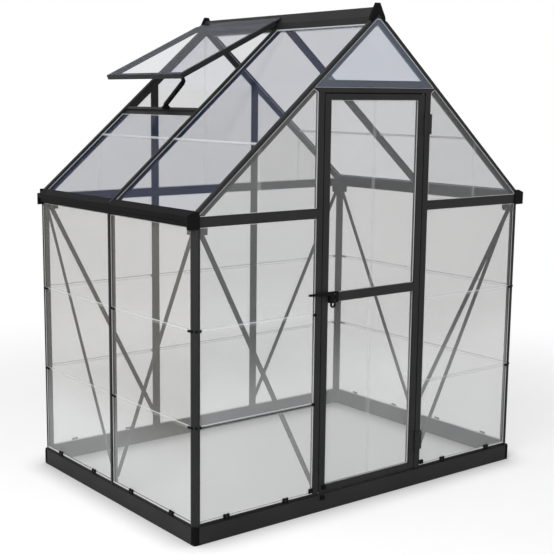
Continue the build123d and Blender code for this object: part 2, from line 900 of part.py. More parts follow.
def crest_run(depth):
    """Return the run at which the open vent, a depth below its outer face, meets the ridge crest."""
    spread = (shoulder_half - crest_half) / (crest_rise + shoulder_drop)
    crest_depth = crest_rise - vent_start_rise + depth * cos(vent_angle)
    reach = crest_half + spread * crest_depth - vent_start + depth * sin(vent_angle)
    return reach / (cos(vent_angle) - spread * sin(vent_angle))


# Vent frame with its lip against the ridge crest; its sheet lies over it up to the crest
vent_inner_start = vent_hinge_width
vent_inner_end = vent_length - vent_bar_width
vent_inner_front = vent_front + vent_bar_width
vent_inner_back = vent_back - vent_bar_width
lip_depth = sheet_thickness + vent_lip_thickness
vent_lip = [
    vent_point(0, sheet_thickness),
    vent_point(crest_run(sheet_thickness), sheet_thickness),
    vent_point(crest_run(lip_depth), lip_depth),
    vent_point(0, lip_depth),
]
vent_opening = vent_block(vent_inner_start, vent_inner_end, sheet_thickness, vent_bar_depth)
with BuildPart() as vent_frame:
    prism_y(vent_block(0, vent_length, sheet_thickness, vent_bar_depth), vent_front, vent_back)
    prism_y(vent_opening, vent_inner_front, vent_inner_back, Mode.SUBTRACT)
    prism_y(vent_lip, vent_front, inner_y)

vent_sheet_lap = vent_block(crest_run(sheet_thickness) + vent_sheet_play, 0, 0, sheet_thickness)
with BuildPart() as vent_sheet:
    prism_y(vent_block(0, vent_length, 0, sheet_thickness), vent_front, vent_back)
    prism_y(vent_sheet_lap, vent_front, inner_y - edge_play)

# Stay that holds the vent open, from a block under its outer rail to a block on the sill
head_run = vent_length - stay_vent_inset
head_x, head_z = vent_point(head_run, vent_bar_depth + stay_drop)
foot_x, foot_z = slope_point(sill_run + sill_width / 2, -sill_proud - stay_rise)
stay_head = Vector(head_x, stay_vent_y, head_z)
stay_foot = Vector(-foot_x, stay_sill_y, foot_z)
stay_reach = stay_foot - stay_head
stay_plane = Plane(
    origin=stay_head + stay_reach / 2, x_dir=stay_reach, z_dir=stay_reach.cross(Vector(0, 0, 1))
)
head_block = vent_block(
    head_run - stay_head_length / 2,
    head_run + stay_head_length / 2,
    vent_bar_depth,
    vent_bar_depth + stay_drop,
)
foot_block = slope_block(sill_run, sill_run + sill_width, -sill_proud - stay_rise, -sill_proud)
with BuildPart() as vent_stay:
    with Locations(stay_plane):
        Box(stay_reach.length, stay_thickness, stay_width)
    prism_y(head_block, stay_vent_y - stay_head_length / 2, stay_vent_y + stay_head_length / 2)
    prism_y(flip(foot_block), stay_sill_y - stay_foot_length / 2, stay_sill_y + stay_foot_length / 2)

# Door stiles, grooved for the sheets
stile_outer = stud_inner - door_gap
stile_inner = stile_outer - stile_width
door_bottom = base_height + door_foot_gap
door_top = header_bottom - door_head_gap
door_sheet_back = door_sheet_depth + sheet_thickness
door_slab = (door_sheet_depth - wall_y, door_sheet_back - wall_y)
stile_bar = [
    (stile_inner, 0),
    (stile_outer, 0),
    (stile_outer, door_depth),
    (stile_inner, door_depth),
    (stile_inner, door_sheet_back),
    (stile_inner + groove_depth, door_sheet_back),
    (stile_inner + groove_depth, door_sheet_depth),
    (stile_inner, door_sheet_depth),
]
with BuildPart() as door_stiles:
    prism_z([(x, depth - wall_y) for x, depth in stile_bar], door_bottom, door_top)
    mirror(about=Plane.YZ)

# Door rails between the stiles, grooved along the two openings
middle_rail_bottom = middle_rail_center - middle_rail_height / 2
middle_rail_top = middle_rail_center + middle_rail_height / 2
door_rail_spans = (
    (door_bottom, door_bottom + bottom_rail_height),
    (middle_rail_bottom, middle_rail_top),
    (door_top - top_rail_height, door_top),
)
door_openings = (
    (door_bottom + bottom_rail_height, middle_rail_bottom),
    (middle_rail_top, door_top - top_rail_height),
)
with BuildPart() as door_rails:
    for bottom, top in door_rail_spans:
        prism_x(rectangle(-wall_y, bottom, door_depth - wall_y, top), -stile_inner, stile_inner)
    for bottom, top in door_openings:
        groove = rectangle(-stile_inner, bottom - groove_depth, stile_inner, top + groove_depth)
        prism_y(groove, *door_slab, Mode.SUBTRACT)

sheet_reach = groove_depth - edge_play
with BuildPart() as door_sheets:
    for bottom, top in door_openings:
        pane = rectangle(
            strip_web, bottom - sheet_reach, stile_inner + sheet_reach, top + sheet_reach
        )
        prism_y(pane, *door_slab)
    mirror(about=Plane.YZ)

door_strip_shift = door_sheet_depth - sheet_depth - wall_y
with BuildPart() as door_joint:
    for bottom, top in door_openings:
        prism_z([(x, depth + door_strip_shift) for x, depth in strip_section(0)], bottom, top)

# Door hinges: the frame's leaves carry the pins and the outer knuckles
axis_x = stud_inner - door_gap / 2
axis_y = -wall_y - axis_proud
hinge_centers = (door_bottom + hinge_inset_bottom, door_top - hinge_inset_top)
leaf_back = -wall_y
leaf_front = -wall_y - leaf_thickness
frame_leaf_start = axis_x + barrel_radius + leaf_gap
door_leaf_end = axis_x - barrel_radius - leaf_gap


def barrel(radius, bottom, top, mode=Mode.ADD):
    """Add or cut a cylinder on the door's hinge axis."""
    with BuildSketch(Plane.XY.offset(bottom)) as section:
        with Locations((axis_x, axis_y)):
            Circle(radius)
    extrude(section.sketch, amount=top - bottom, mode=mode)


with BuildPart() as hinge_leaves_frame:
    for center in hinge_centers:
        bottom = center - hinge_height / 2
        top = center + hinge_height / 2
        leaf = rectangle(frame_leaf_start, leaf_front, stud_outer + leaf_overhang, leaf_back)
        prism_z(leaf, bottom, top)
        barrel(pin_radius, bottom, top)
        for low, high in (
            (bottom, center - knuckle_height / 2 - knuckle_gap),
            (center + knuckle_height / 2 + knuckle_gap, top),
        ):
            barrel(barrel_radius, low, high)
            prism_z(rectangle(axis_x, leaf_front, frame_leaf_start, leaf_back), low, high)

with BuildPart() as hinge_leaves_door:
    for center in hinge_centers:
        low = center - knuckle_height / 2
        high = center + knuckle_height / 2
        leaf = rectangle(stile_inner, leaf_front, door_leaf_end, leaf_back)
        prism_z(leaf, center - hinge_height / 2, center + hinge_height / 2)
        prism_z(rectangle(door_leaf_end, leaf_front, axis_x, leaf_back), low, high)
        barrel(barrel_radius, low, high)
        barrel(pin_radius + pin_play, low, high, Mode.SUBTRACT)

# Door latch: a body on the middle rail, a lever past the stud and a ring for a lock
latch_left = -stile_inner
latch_right = latch_left + latch_width
latch_top = middle_rail_center + lever_rise + lever_tip_height / 2
latch_bottom = latch_top - latch_height
lever_tip = latch_left - lever_reach
latch_front = -wall_y - latch_depth
ring_x = latch_left + latch_width * ring_share
lever = [
    (lever_tip, latch_top - lever_tip_height),
    (latch_left, latch_top - lever_root_height),
    (latch_left, latch_top),
    (lever_tip, latch_top),
]
with BuildPart() as door_latch:
    prism_y(rectangle(latch_left, latch_bottom, latch_right, latch_top), latch_front, -wall_y)
    prism_y(lever, latch_front, latch_front + lever_thickness)
    with Locations((ring_x, latch_front + latch_depth / 2, latch_bottom - ring_radius)):
        Torus(ring_radius, ring_wire, rotation=(90, 0, 0))

pieces = {
    "base_sides": base_sides,
    "base_corners": base_corners,
    "corner_posts": corner_posts,
    "mid_posts": mid_posts,
    "door_studs": door_studs,
    "back_studs": back_studs,
    "bottom_rails_front": bottom_rails_front,
    "bottom_rails_back": bottom_rails_back,
    "bottom_rails_left": bottom_rails_left,
    "bottom_rails_right": bottom_rails_right,
    "eave_ties_front": eave_ties_front,
    "eave_ties_back": eave_ties_back,
    "gutter_left": gutter_left,
    "gutter_right": gutter_right,
    "gutter_end_caps": gutter_end_caps,
    "door_header": door_header,
    "rafters_left": rafters_left,
    "rafters_right": rafters_right,
    "ridge": ridge,
    "ridge_end_caps": ridge_end_caps,
    "braces_front": braces_front,
    "braces_back": braces_back,
    "braces_left": braces_left,
    "braces_right": braces_right,
    "wall_sheets_front": wall_sheets_front,
    "wall_sheets_back": wall_sheets_back,
    "wall_sheets_left": wall_sheets_left,
    "wall_sheets_right": wall_sheets_right,
    "gable_sheets_front": gable_sheets_front,
    "gable_sheets_back": gable_sheets_back,
    "roof_sheets_left": roof_sheets_left,
    "roof_sheets_right": roof_sheets_right,
    "sheet_joints": sheet_joints,
    "vent_sill": vent_sill,
    "vent_frame": vent_frame,
    "vent_sheet": vent_sheet,
    "vent_stay": vent_stay,
    "hinge_leaves_frame": hinge_leaves_frame,
    "door_stiles": door_stiles,
    "door_rails": door_rails,
    "door_sheets": door_sheets,
    "door_joint": door_joint,
    "hinge_leaves_door": hinge_leaves_door,
    "door_latch": door_latch,
}
os.makedirs("parts", exist_ok=True)
for name, piece in pieces.items():
    piece.part.label = name
    export_step(piece.part, f"parts/{name}.step")
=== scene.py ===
import math

import bpy
from mathutils import Matrix, Vector


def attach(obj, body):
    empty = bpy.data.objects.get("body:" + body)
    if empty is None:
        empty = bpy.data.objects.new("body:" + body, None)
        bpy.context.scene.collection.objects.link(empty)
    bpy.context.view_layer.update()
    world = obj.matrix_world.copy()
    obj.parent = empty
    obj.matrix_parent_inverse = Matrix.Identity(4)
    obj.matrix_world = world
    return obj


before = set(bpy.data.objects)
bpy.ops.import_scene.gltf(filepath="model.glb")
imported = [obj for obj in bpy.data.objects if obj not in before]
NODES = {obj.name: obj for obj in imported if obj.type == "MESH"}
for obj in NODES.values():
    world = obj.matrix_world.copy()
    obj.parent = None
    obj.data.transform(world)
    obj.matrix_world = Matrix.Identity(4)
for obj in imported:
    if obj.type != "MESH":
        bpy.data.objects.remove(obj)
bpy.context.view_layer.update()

bl_info = {
    "name": "Polycarbonate greenhouse",
    "version": (1, 0, 0),
    "blender": (4, 5, 0),
    "location": "View3D > Sidebar > Greenhouse",
    "description": "Gives the packed greenhouse its finishes, beads, clips and screws, and sets a studio",
    "category": "Object",
}

MOULDED_PIECES = ["base_corners", "gutter_end_caps", "ridge_end_caps", "vent_stay", "door_latch"]
WALL_SHEETS = ["wall_sheets_front", "wall_sheets_back", "door_sheets"]
SIDE_SHEETS = ["wall_sheets_left", "wall_sheets_right"]
GABLE_SHEETS = ["gable_sheets_front", "gable_sheets_back"]
ROOF_SHEETS = ["roof_sheets_left", "roof_sheets_right", "vent_sheet"]
JOINT_STRIPS = ["sheet_joints", "door_joint"]
CLEAR_PIECES = WALL_SHEETS + SIDE_SHEETS + GABLE_SHEETS + ROOF_SHEETS + JOINT_STRIPS
GUTTERS = ["gutter_left", "gutter_right"]
PAINTED_BARS = [name for name in NODES if name not in MOULDED_PIECES + CLEAR_PIECES + GUTTERS]

# Lines of the frame that the beads, clips, ribs and screws follow, in millimetres.
BASE_SIDE = 925
BASE_FRONT = 630
SIDE_PLANE = 921
GABLE_PLANE = 620
SIDE_SHEET_FACE = 918
GABLE_SHEET_FACE = 617
DOOR_SHEET_FACE = 610
SHEET_BOTTOM = 82
SHEET_TOP = 1246
TIE_TOP = 1286
HEADER_TOP = 1768
HEADER_CUT_ACROSS = 23
HEADER_CUT_DOWN = 18
CORNER_LEG_X = 896
CORNER_LEG_Y = 599
POST_RIB = 6.5
STUD_EDGE = 318
BACK_STUD = 306
RIDGE_TOP = 2065
RIDGE_WING = 40
ROOF_PITCH = 779 / 915
ROOF_JOINT = 601.5
ROOF_PEAK = 10
RAFTER_INSIDE = 604
RAFTER_LIP = 5
EAVE_BAR = 893
VENT_SILL = 488
STAY_HEAD = (-534.5, 26, 1788.5)
STAY_FOOT = (-480.5, 244, 1693)
JOINT_HEIGHTS = (471.8, 850.3)
STRIP_DEPTH = 1.5
STRIP_EDGE = 4
DOOR_PANES = ((106, 894), (931, 1720))
DOOR_STILE_EDGE = 249.5
LATCH_RING = (-229.25, -627.5, 885)
LATCH_RING_RADIUS = 10.5
LATCH_RING_STEPS = 16

# How far the beads and clips sit out from, or below, the sheets, in millimetres.
WALL_BEAD_SEAT = 1
DOOR_BEAD_SEAT = 2
ROOF_BEAD_DEPTH = 2
CLIP_SEAT = 2

# Places of the clips, ribs and screws, in millimetres.
RAIL_CLIP_HEIGHT = 87
RAIL_CLIPS_X = (-766, -465, 465, 766)
RAIL_CLIPS_Y = (-465, -158, 158, 465)
MID_POST_CLIP_Y = -21
CORNER_CLIPS_X = (-900, 892)
CORNER_CLIPS_Y = (-598, 580)
FRONT_STUD_CLIP_X = -322
BACK_STUD_CLIP_X = 319
STUD_FOOT_X, STUD_FOOT_HEIGHT = 329, 98
CATCH_X, CATCH_HEIGHT = -271, 60
DOOR_FOOT_X, DOOR_FOOT_HEIGHT = -256, 100
RIB_BOTTOM, RIB_TOP = 6, 66
RIB_SETBACKS = (9, 13, 17, 21)
RIB_CORNER_SETBACK = 4
HINGE_FACE = -623
HINGE_HEIGHTS = (204, 1617.5)
HINGE_SCREW_RISES = (-28, 28)
FRAME_LEAF_X = 308
DOOR_LEAF_X = 263
LATCH_FACE = -635
LATCH_SCREW_X = -227
LATCH_SCREW_HEIGHTS = (902, 930)
GABLE_BRACE_FACE = 601
GABLE_BRACE_ENDS = ((878, 1223.4), (308, 123.6))
SIDE_BRACE_FACE = 902
SIDE_BRACE_ENDS = ((580.5, 1209.4), (19.5, 123.6))

# Share of the light that one face of each clear piece holds back, and the heights between which a
# sheet's haze meets its painted reflection, in millimetres.
WALL_HAZE = 0.19
GABLE_HAZE = 0.24
ROOF_HAZE = 0.165
STRIP_HAZE = 0.1
BEAD_HAZE = 0.36
RAIL_BEAD_HAZE = 0.6
WALL_FADE = (520, 820)
SIDE_FADE = (240, 560)
CROWN_FADE = (HEADER_TOP - 6, HEADER_TOP)
SHEET_ROUGHNESS = 0.12
BEAD_ROUGHNESS = 0.2

# The studio, in metres and in shares of full white.
FLOOR_REACH = 30.0
FLOOR_TONE = (0.755, 0.755, 0.755)
FLOOR_FADE = (1.6, 4.0)
FLOOR_LIFT_OUTSIDE = 0.49
FLOOR_LIFT_INSIDE = 0.23
CONTACT_SHADE_REACH = 0.14
CONTACT_SHADE_DEPTH = 1.7
SKY_AT_HORIZON = 1.2
SKY_OVERHEAD = 0.5
KEY_PLACE = (-4.4, -3.0, 3.2)
KEY_AIM = (0, 0, 0.8)
KEY_SIZE = 3.6
CLEAR_LAYERS = 40

# Turn that stands a fitting, which is built lying flat, up along Y.
UPRIGHT = (-math.pi / 2, 0, 0)


def srgb(text):
    """Turn an sRGB hex colour into linear red, green and blue."""
    channels = [int(text[start:start + 2], 16) / 255 for start in (0, 2, 4)]
    return [c / 12.92 if c <= 0.04045 else ((c + 0.055) / 1.055) ** 2.4 for c in channels]


def mm(value):
    """Turn millimetres into metres."""
    return value / 1000


def grain(size):
    """Return the scale of a noise or cell texture whose grains are about size millimetres across."""
    return 1000 / size


def add_node(tree, kind, links=None, **settings):
    """Add a node with its settings, and link or set its inputs."""
    node = tree.nodes.new(kind)
    for name, value in settings.items():
        setattr(node, name, value)
    for socket, value in (links or {}).items():
        for source in value if isinstance(value, list) else [value]:
            if isinstance(source, bpy.types.NodeSocket):
                tree.links.new(source, node.inputs[socket])
            else:
                node.inputs[socket].default_value = source
    return node


def color_setting(name, description, default):
    """Return a colour that a user can change."""
    return bpy.props.FloatVectorProperty(
        name=name, description=description, subtype="COLOR", size=3, min=0.0, max=1.0, default=srgb(default)
    )


def length_setting(name, description, default):
    """Return a length that a user can change, from its default in millimetres."""
    return bpy.props.FloatProperty(
        name=name, description=description, subtype="DISTANCE", unit="LENGTH", min=0.0, default=mm(default)
    )


class FinishAndPaintedLightSettings(bpy.types.PropertyGroup):
    """Colours of the greenhouse's finishes, and of the painted reflection, highlight and shade on some pieces
    """

    bar_color: color_setting("Bars", "Powder coat on the aluminium bars", "262627")
    # The gutters' darker colour is painted shade for the shade in their hollow profile, not a darker batch of
    # paint.
    gutter_shade_color: color_setting("Gutters", "Powder coat on the gutters, a darker batch", "0a0a0b")
    plastic_color: color_setting("Moulded pieces", "Corners, caps, clips, sleeves, latch and stay", "08080a")
    screw_color: color_setting("Screws", "Blackened steel of the screw heads", "3a3a3c")
    wall_color: color_setting("Gable sheets", "Haze of the clear sheets in the gables and the door", "a3a4a5")
    # Painted reflection: the near-white foot of the wall sheets stands in for the bright floor that they
    # reflect.
    foot_reflection_color: color_setting("Foot of the sheets", "Haze of the wall sheets near the ground", "f0f1f2")
    side_color: color_setting("Side sheets", "Haze of the clear sheets in the side walls", "a4a199")
    # Painted reflection: the bluer crown stands in for the sky reflected in it, as the roof's tint does.
    crown_reflection_color: color_setting("Crown sheets", "Haze of the clear sheets above the door", "a6b3ca")
    # Painted reflection: the roof's blue tint stands in for the sky that the roof sheets reflect.
    roof_reflection_color: color_setting("Roof sheets", "Tint of the clear sheets in the roof", "354773")
    # Painted shadow: the dark seal line stands in for the shadow under the lower strip left of the door,
    # drawn as a rubber seal.
    seal_shadow_color: color_setting("Seal", "Rubber seal under the lower strip left of the door", "141414")
    strip_color: color_setting("Joint strips", "Clear strips between the sheets", "f0f2f4")
    # Painted highlight: the beads stand for the sheets' edges, ridge wings, rail tops and strip edges, and
    # their near-white colour stands in for the light these catch.
    bead_highlight_color: color_setting("Beads", "Clear beads along the sheets and strips", "fafbfc")


class FittingSettings(bpy.types.PropertyGroup):
    """Sizes of the beads, sleeves, clips, ribs and screws"""

    bead_radius: length_setting("Edge bead", "Radius of the bead round each sheet", 2.2)
    ridge_bead_radius: length_setting("Ridge bead", "Radius of the bead along the ridge", 4.0)
    rail_bead_radius: length_setting("Rail bead", "Radius of the bead along the bottom rails", 3.2)
    strip_bead_radius: length_setting("Strip bead", "Radius of the bead along each level joint strip", 2.2)
    shadow_seal_radius: length_setting("Seal", "Radius of the seal under the lower strip left of the door", 1.8)
    roof_bead_radius: length_setting("Roof strip bead", "Radius of the bead along each roof strip", 5.0)
    stay_sleeve_radius: length_setting("Stay sleeve", "Radius of the sleeve on the vent stay", 11.0)
    ring_sleeve_radius: length_setting("Ring sleeve", "Radius of the sleeve on the latch ring", 4.5)
    rib_radius: length_setting("Corner rib", "Radius of the grip ribs on the base corners", 1.2)
    clip_width: length_setting("Clip width", "Width of a rail clip", 30.0)
    clip_height: length_setting("Clip height", "Height of a rail clip", 18.0)
    clip_depth: length_setting("Clip depth", "Depth of a rail clip's plate", 5.0)
    screw_radius: length_setting("Screw head radius", "Radius of a screw's head", 4.0)
    screw_height: length_setting("Screw head height", "Height of a screw's head", 2.6)


class StageSettings(bpy.types.PropertyGroup):
    """The camera and the light of the studio"""

    camera_place: bpy.props.FloatVectorProperty(
        name="Camera place",
        description="Where the camera stands",
        subtype="TRANSLATION",
        unit="LENGTH",
        size=3,
        default=(-3.2771, -4.0521, 1.7362),
    )
    camera_yaw: bpy.props.FloatProperty(
        name="Camera yaw",
        description="Turn of the camera from the back wall towards the right wall",
        subtype="ANGLE",
        default=0.6433,
    )
    camera_pitch: bpy.props.FloatProperty(
        name="Camera pitch",
        description="Tilt of the camera below level",
        subtype="ANGLE",
        default=0.1603,
    )
    camera_roll: bpy.props.FloatProperty(
        name="Camera roll",
        description="Turn of the camera about its own line of sight",
        subtype="ANGLE",
        default=0.0061,
    )
    camera_lens: bpy.props.FloatProperty(
        name="Camera lens",
        description="Focal length on a 36 mm sensor",
        subtype="DISTANCE_CAMERA",
        default=73.02,
    )
    camera_shift: bpy.props.FloatProperty(
        name="Camera shift",
        description="Sideways shift of the frame, as a share of its width",
        default=0.0668,
    )
    sky_strength: bpy.props.FloatProperty(
        name="Sky strength",
        description="Brightness of the even light from all around",
        min=0.0,
        default=0.55,
    )
    key_power: bpy.props.FloatProperty(
        name="Key lamp",
        description="Power of the large soft lamp to the left of the front",
        subtype="POWER",
        unit="POWER",
        min=0.0,
        default=190.0,
    )


def new_material(name, sockets):
    """Start a material with a Principled shader and return it with its tree and shader."""
    material = bpy.data.materials.new(name)
    material.use_nodes = True
    tree = material.node_tree
    tree.nodes.clear()
    shader = add_node(tree, "ShaderNodeBsdfPrincipled", sockets)
    add_node(tree, "ShaderNodeOutputMaterial", {"Surface": shader.outputs["BSDF"]})
    return material, tree, shader


def two_tone(tree, factor, color, spread):
    """Vary a colour by a share of itself either way, and return the result's socket."""
    ramp = add_node(tree, "ShaderNodeValToRGB", {"Fac": factor})
    for element, position, share in zip(ramp.color_ramp.elements, (0.3, 0.7), (1 - spread, 1 + spread)):
        element.position = position
        element.color = [min(1.0, share * c) for c in color] + [1.0]
    return ramp.outputs["Color"]


def surface(tree, shader, tone, height, rough, bump_strength, bump_depth):
    """Link a tone to the shader, and a roughness range and a bump that come from one pattern."""
    gloss = add_node(tree, "ShaderNodeMapRange", {"Value": height, "To Min": rough[0], "To Max": rough[1]})
    bump = add_node(
        tree,
        "ShaderNodeBump",
        {"Height": height, "Strength": bump_strength, "Distance": mm(bump_depth)},
    )
    tree.links.new(tone, shader.inputs["Base Color"])
    tree.links.new(gloss.outputs["Result"], shader.inputs["Roughness"])
    tree.links.new(bump.outputs["Normal"], shader.inputs["Normal"])


def powder_coat(name, color, gloss):
    """Powder-coated aluminium: a satin skin with a fine orange peel and a slow change of tone."""
    # The real peel is about 1 mm across. It is drawn at 4 mm so that it shows.
    material, tree, shader = new_material(name, {"IOR": 1.5, "Specular IOR Level": gloss})
    place = add_node(tree, "ShaderNodeTexCoord").outputs["Object"]
    cloud = add_node(tree, "ShaderNodeTexNoise", {"Vector": place, "Scale": grain(180), "Detail": 3.0})
    peel = add_node(tree, "ShaderNodeTexNoise", {"Vector": place, "Scale": grain(4), "Detail": 2.0})
    tone = two_tone(tree, cloud.outputs["Fac"], color, spread=0.16)
    surface(tree, shader, tone, peel.outputs["Fac"], rough=(0.44, 0.6), bump_strength=0.08, bump_depth=0.3)
    return material


def moulded_plastic(color):
    """Black polypropylene from an eroded mould: matt, with a pebbled grain that breaks up its gloss."""
    # The real grain is under 1 mm. It is drawn at 3 mm so that it shows.
    material, tree, shader = new_material("moulded_polypropylene", {"IOR": 1.49, "Specular IOR Level": 0.1})
    place = add_node(tree, "ShaderNodeTexCoord").outputs["Object"]
    pebble = add_node(tree, "ShaderNodeTexVoronoi", {"Vector": place, "Scale": grain(3)})
    grit = pebble.outputs["Distance"]
    tone = two_tone(tree, grit, color, spread=0.25)
    surface(tree, shader, tone, grit, rough=(0.56, 0.72), bump_strength=0.15, bump_depth=0.2)
    return material


def blackened_steel(color):
    """Steel with a black oxide skin: a dark metal gleam that turning marks make uneven."""
    # The real marks are finer than a tenth of a millimetre. They are drawn at 1 mm so that they show.
    material, tree, shader = new_material("black_oxide_steel", {"Metallic": 1.0})
    place = add_node(tree, "ShaderNodeTexCoord").outputs["Object"]
    marks = add_node(tree, "ShaderNodeTexNoise", {"Vector": place, "Scale": grain(1), "Detail": 2.0})
    tone = two_tone(tree, marks.outputs["Fac"], color, spread=0.2)
    surface(tree, shader, tone, marks.outputs["Fac"], rough=(0.35, 0.55), bump_strength=0.05, bump_depth=0.1)
    return material


def clear_polycarbonate(name, color, alpha, rough, other=None, levels=None):
    """Extruded clear polycarbonate: a thin haze, and a slow ripple that bends its reflections."""
    material, tree, shader = new_material(name, {"IOR": 1.585, "Alpha": alpha, "Specular IOR Level": 0.4})
    place = add_node(tree, "ShaderNodeTexCoord").outputs["Object"]
    ripple = add_node(tree, "ShaderNodeTexNoise", {"Vector": place, "Scale": grain(260), "Detail": 2.0})
    wave = ripple.outputs["Fac"]
    tone = two_tone(tree, wave, color, spread=0.06)
    if other:
        # The haze changes between two heights: a whiter foot is painted floor reflection, a bluer crown
        # painted sky. it is whiter at the foot of a wall and bluer in the crown.
        height = add_node(tree, "ShaderNodeSeparateXYZ", {"Vector": place})
        above = add_node(
            tree,
            "ShaderNodeMapRange",
            {"Value": height.outputs["Z"], "From Min": mm(levels[0]), "From Max": mm(levels[1])},
            interpolation_type="SMOOTHSTEP",
        )
        upper = two_tone(tree, wave, other, spread=0.06)
        # The colour sockets of a Mix node share their names, so they are picked by number.
        blend = add_node(
            tree,
            "ShaderNodeMix",
            {0: above.outputs["Result"], 6: tone, 7: upper},
            data_type="RGBA",
        )
        tone = blend.outputs[2]
    surface(tree, shader, tone, wave, rough=(rough * 0.7, rough * 1.3), bump_strength=0.1, bump_depth=2.0)
    return material


def rubber(color):
    """Extruded black rubber for the seal that is painted shadow under a joint strip: dull, with a fine bloom
    that greys it unevenly.
    """
    # The real bloom is about 1 mm across. It is drawn at 6 mm so that it shows.
    material, tree, shader = new_material("extruded_rubber_painted_shadow", {"IOR": 1.52, "Specular IOR Level": 0.2})
    place = add_node(tree, "ShaderNodeTexCoord").outputs["Object"]
    bloom = add_node(tree, "ShaderNodeTexNoise", {"Vector": place, "Scale": grain(6), "Detail": 3.0})
    tone = two_tone(tree, bloom.outputs["Fac"], color, spread=0.3)
    surface(tree, shader, tone, bloom.outputs["Fac"], rough=(0.6, 0.8), bump_strength=0.1, bump_depth=0.2)
    return material


def finish_nodes(names, material):
    """Give one material to the CAD pieces with these names."""
    for name in names:
        for slot in NODES[name].material_slots:
            slot.material = material


def start_tree(name, sizes):
    """Start a node tree with a named input for each size, and return it with its inputs."""
    tree = bpy.data.node_groups.new(name, "GeometryNodeTree")
    tree.interface.new_socket("Geometry", in_out="INPUT", socket_type="NodeSocketGeometry")
    for size in sizes:
        tree.interface.new_socket(size, in_out="INPUT", socket_type="NodeSocketFloat")
    tree.interface.new_socket("Material", in_out="INPUT", socket_type="NodeSocketMaterial")
    tree.interface.new_socket("Geometry", in_out="OUTPUT", socket_type="NodeSocketGeometry")
    return tree, add_node(tree, "NodeGroupInput").outputs


def end_tree(tree, inputs, shape):
    """Make the shape real, give it its material and end the tree."""
    real = add_node(tree, "GeometryNodeRealizeInstances", {"Geometry": shape})
    coated = add_node(
        tree,
        "GeometryNodeSetMaterial",
        {"Geometry": real.outputs["Geometry"], "Material": inputs["Material"]},
    )
    add_node(tree, "NodeGroupOutput", {"Geometry": coated.outputs["Geometry"]})
    return tree


def grow(name, tree, mesh, values, body):
    """Run a node tree on a mesh of points or lines, and keep the result as a plain mesh on a body."""
    piece = bpy.data.objects.new(name, mesh)
    bpy.context.scene.collection.objects.link(piece)
    modifier = piece.modifiers.new("grow", "NODES")
    modifier.node_group = tree
    for item in tree.interface.items_tree:
        if item.in_out == "INPUT" and item.name in values:
            modifier[item.identifier] = values[item.name]
    shape = bpy.data.meshes.new_from_object(piece.evaluated_get(bpy.context.evaluated_depsgraph_get()))
    piece.modifiers.remove(modifier)
    piece.data = shape
    bpy.data.meshes.remove(mesh)
    shape.name = name
    shape.materials.clear()
    shape.materials.append(values["Material"])
    shape.polygons.foreach_set("material_index", [0] * len(shape.polygons))
    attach(piece, body)


def line_mesh(lines, closed):
    """Make a mesh of open lines or closed loops from lists of points in millimetres."""
    points, edges = [], []
    for line in lines:
        first = len(points)
        points += [[mm(value) for value in point] for point in line]
        edges += [(first + step, first + step + 1) for step in range(len(line) - 1)]
        if closed:
            edges.append((len(points) - 1, first))
    mesh = bpy.data.meshes.new("lines")
    mesh.from_pydata(points, edges, [])
    return mesh


def point_mesh(places):
    """Make a mesh of points in millimetres, each with the direction that its fitting faces."""
    mesh = bpy.data.meshes.new("points")
    mesh.from_pydata([[mm(value) for value in place] for place, facing in places], [], [])
    facings = mesh.attributes.new("facing", "FLOAT_VECTOR", "POINT")
    facings.data.foreach_set("vector", [value for place, facing in places for value in facing])
    return mesh


def bead_tree():
    """Build the tree that sweeps a round bead along lines."""
    tree, inputs = start_tree("bead", ["Radius"])
    path = add_node(tree, "GeometryNodeMeshToCurve", {"Mesh": inputs["Geometry"]})
    ring = add_node(tree, "GeometryNodeCurvePrimitiveCircle", {"Resolution": 8, "Radius": inputs["Radius"]})
    bead = add_node(
        tree,
        "GeometryNodeCurveToMesh",
        {"Curve": path.outputs["Curve"], "Profile Curve": ring.outputs["Curve"], "Fill Caps": True},
    )
    return end_tree(tree, inputs, bead.outputs["Mesh"])


def add_boss(tree, sides, radius, height, shoulder, recess=None):
    """Add a raised head with sloped shoulders, and a recess in it where asked, and return its mesh."""
    half = add_node(tree, "ShaderNodeMath", {0: height, 1: 0.5}, operation="MULTIPLY").outputs["Value"]
    ring = add_node(tree, "GeometryNodeMeshCircle", {"Vertices": sides, "Radius": radius}, fill_type="NGON")
    steps = [(half, 1.0), (half, shoulder)]
    if recess:
        sink = add_node(tree, "ShaderNodeMath", {0: height, 1: -0.5}, operation="MULTIPLY").outputs["Value"]
        socket_taper = 0.9
        steps += [(0.0, recess), (sink, socket_taper)]
    shape, top = ring.outputs["Mesh"], True
    for rise, share in steps:
        raised = add_node(
            tree,
            "GeometryNodeExtrudeMesh",
            {"Mesh": shape, "Selection": top, "Offset Scale": rise},
        )
        top = raised.outputs["Top"]
        scaled = add_node(
            tree,
            "GeometryNodeScaleElements",
            {"Geometry": raised.outputs["Mesh"], "Selection": top, "Scale": share},
        )
        shape = scaled.outputs["Geometry"]
    back = add_node(tree, "GeometryNodeFlipFaces", {"Mesh": ring.outputs["Mesh"]})
    both = add_node(tree, "GeometryNodeJoinGeometry", {"Geometry": [shape, back.outputs["Mesh"]]})
    closed = add_node(
        tree,
        "GeometryNodeMergeByDistance",
        {"Geometry": both.outputs["Geometry"], "Distance": mm(0.01)},
    )
    return closed.outputs["Geometry"]


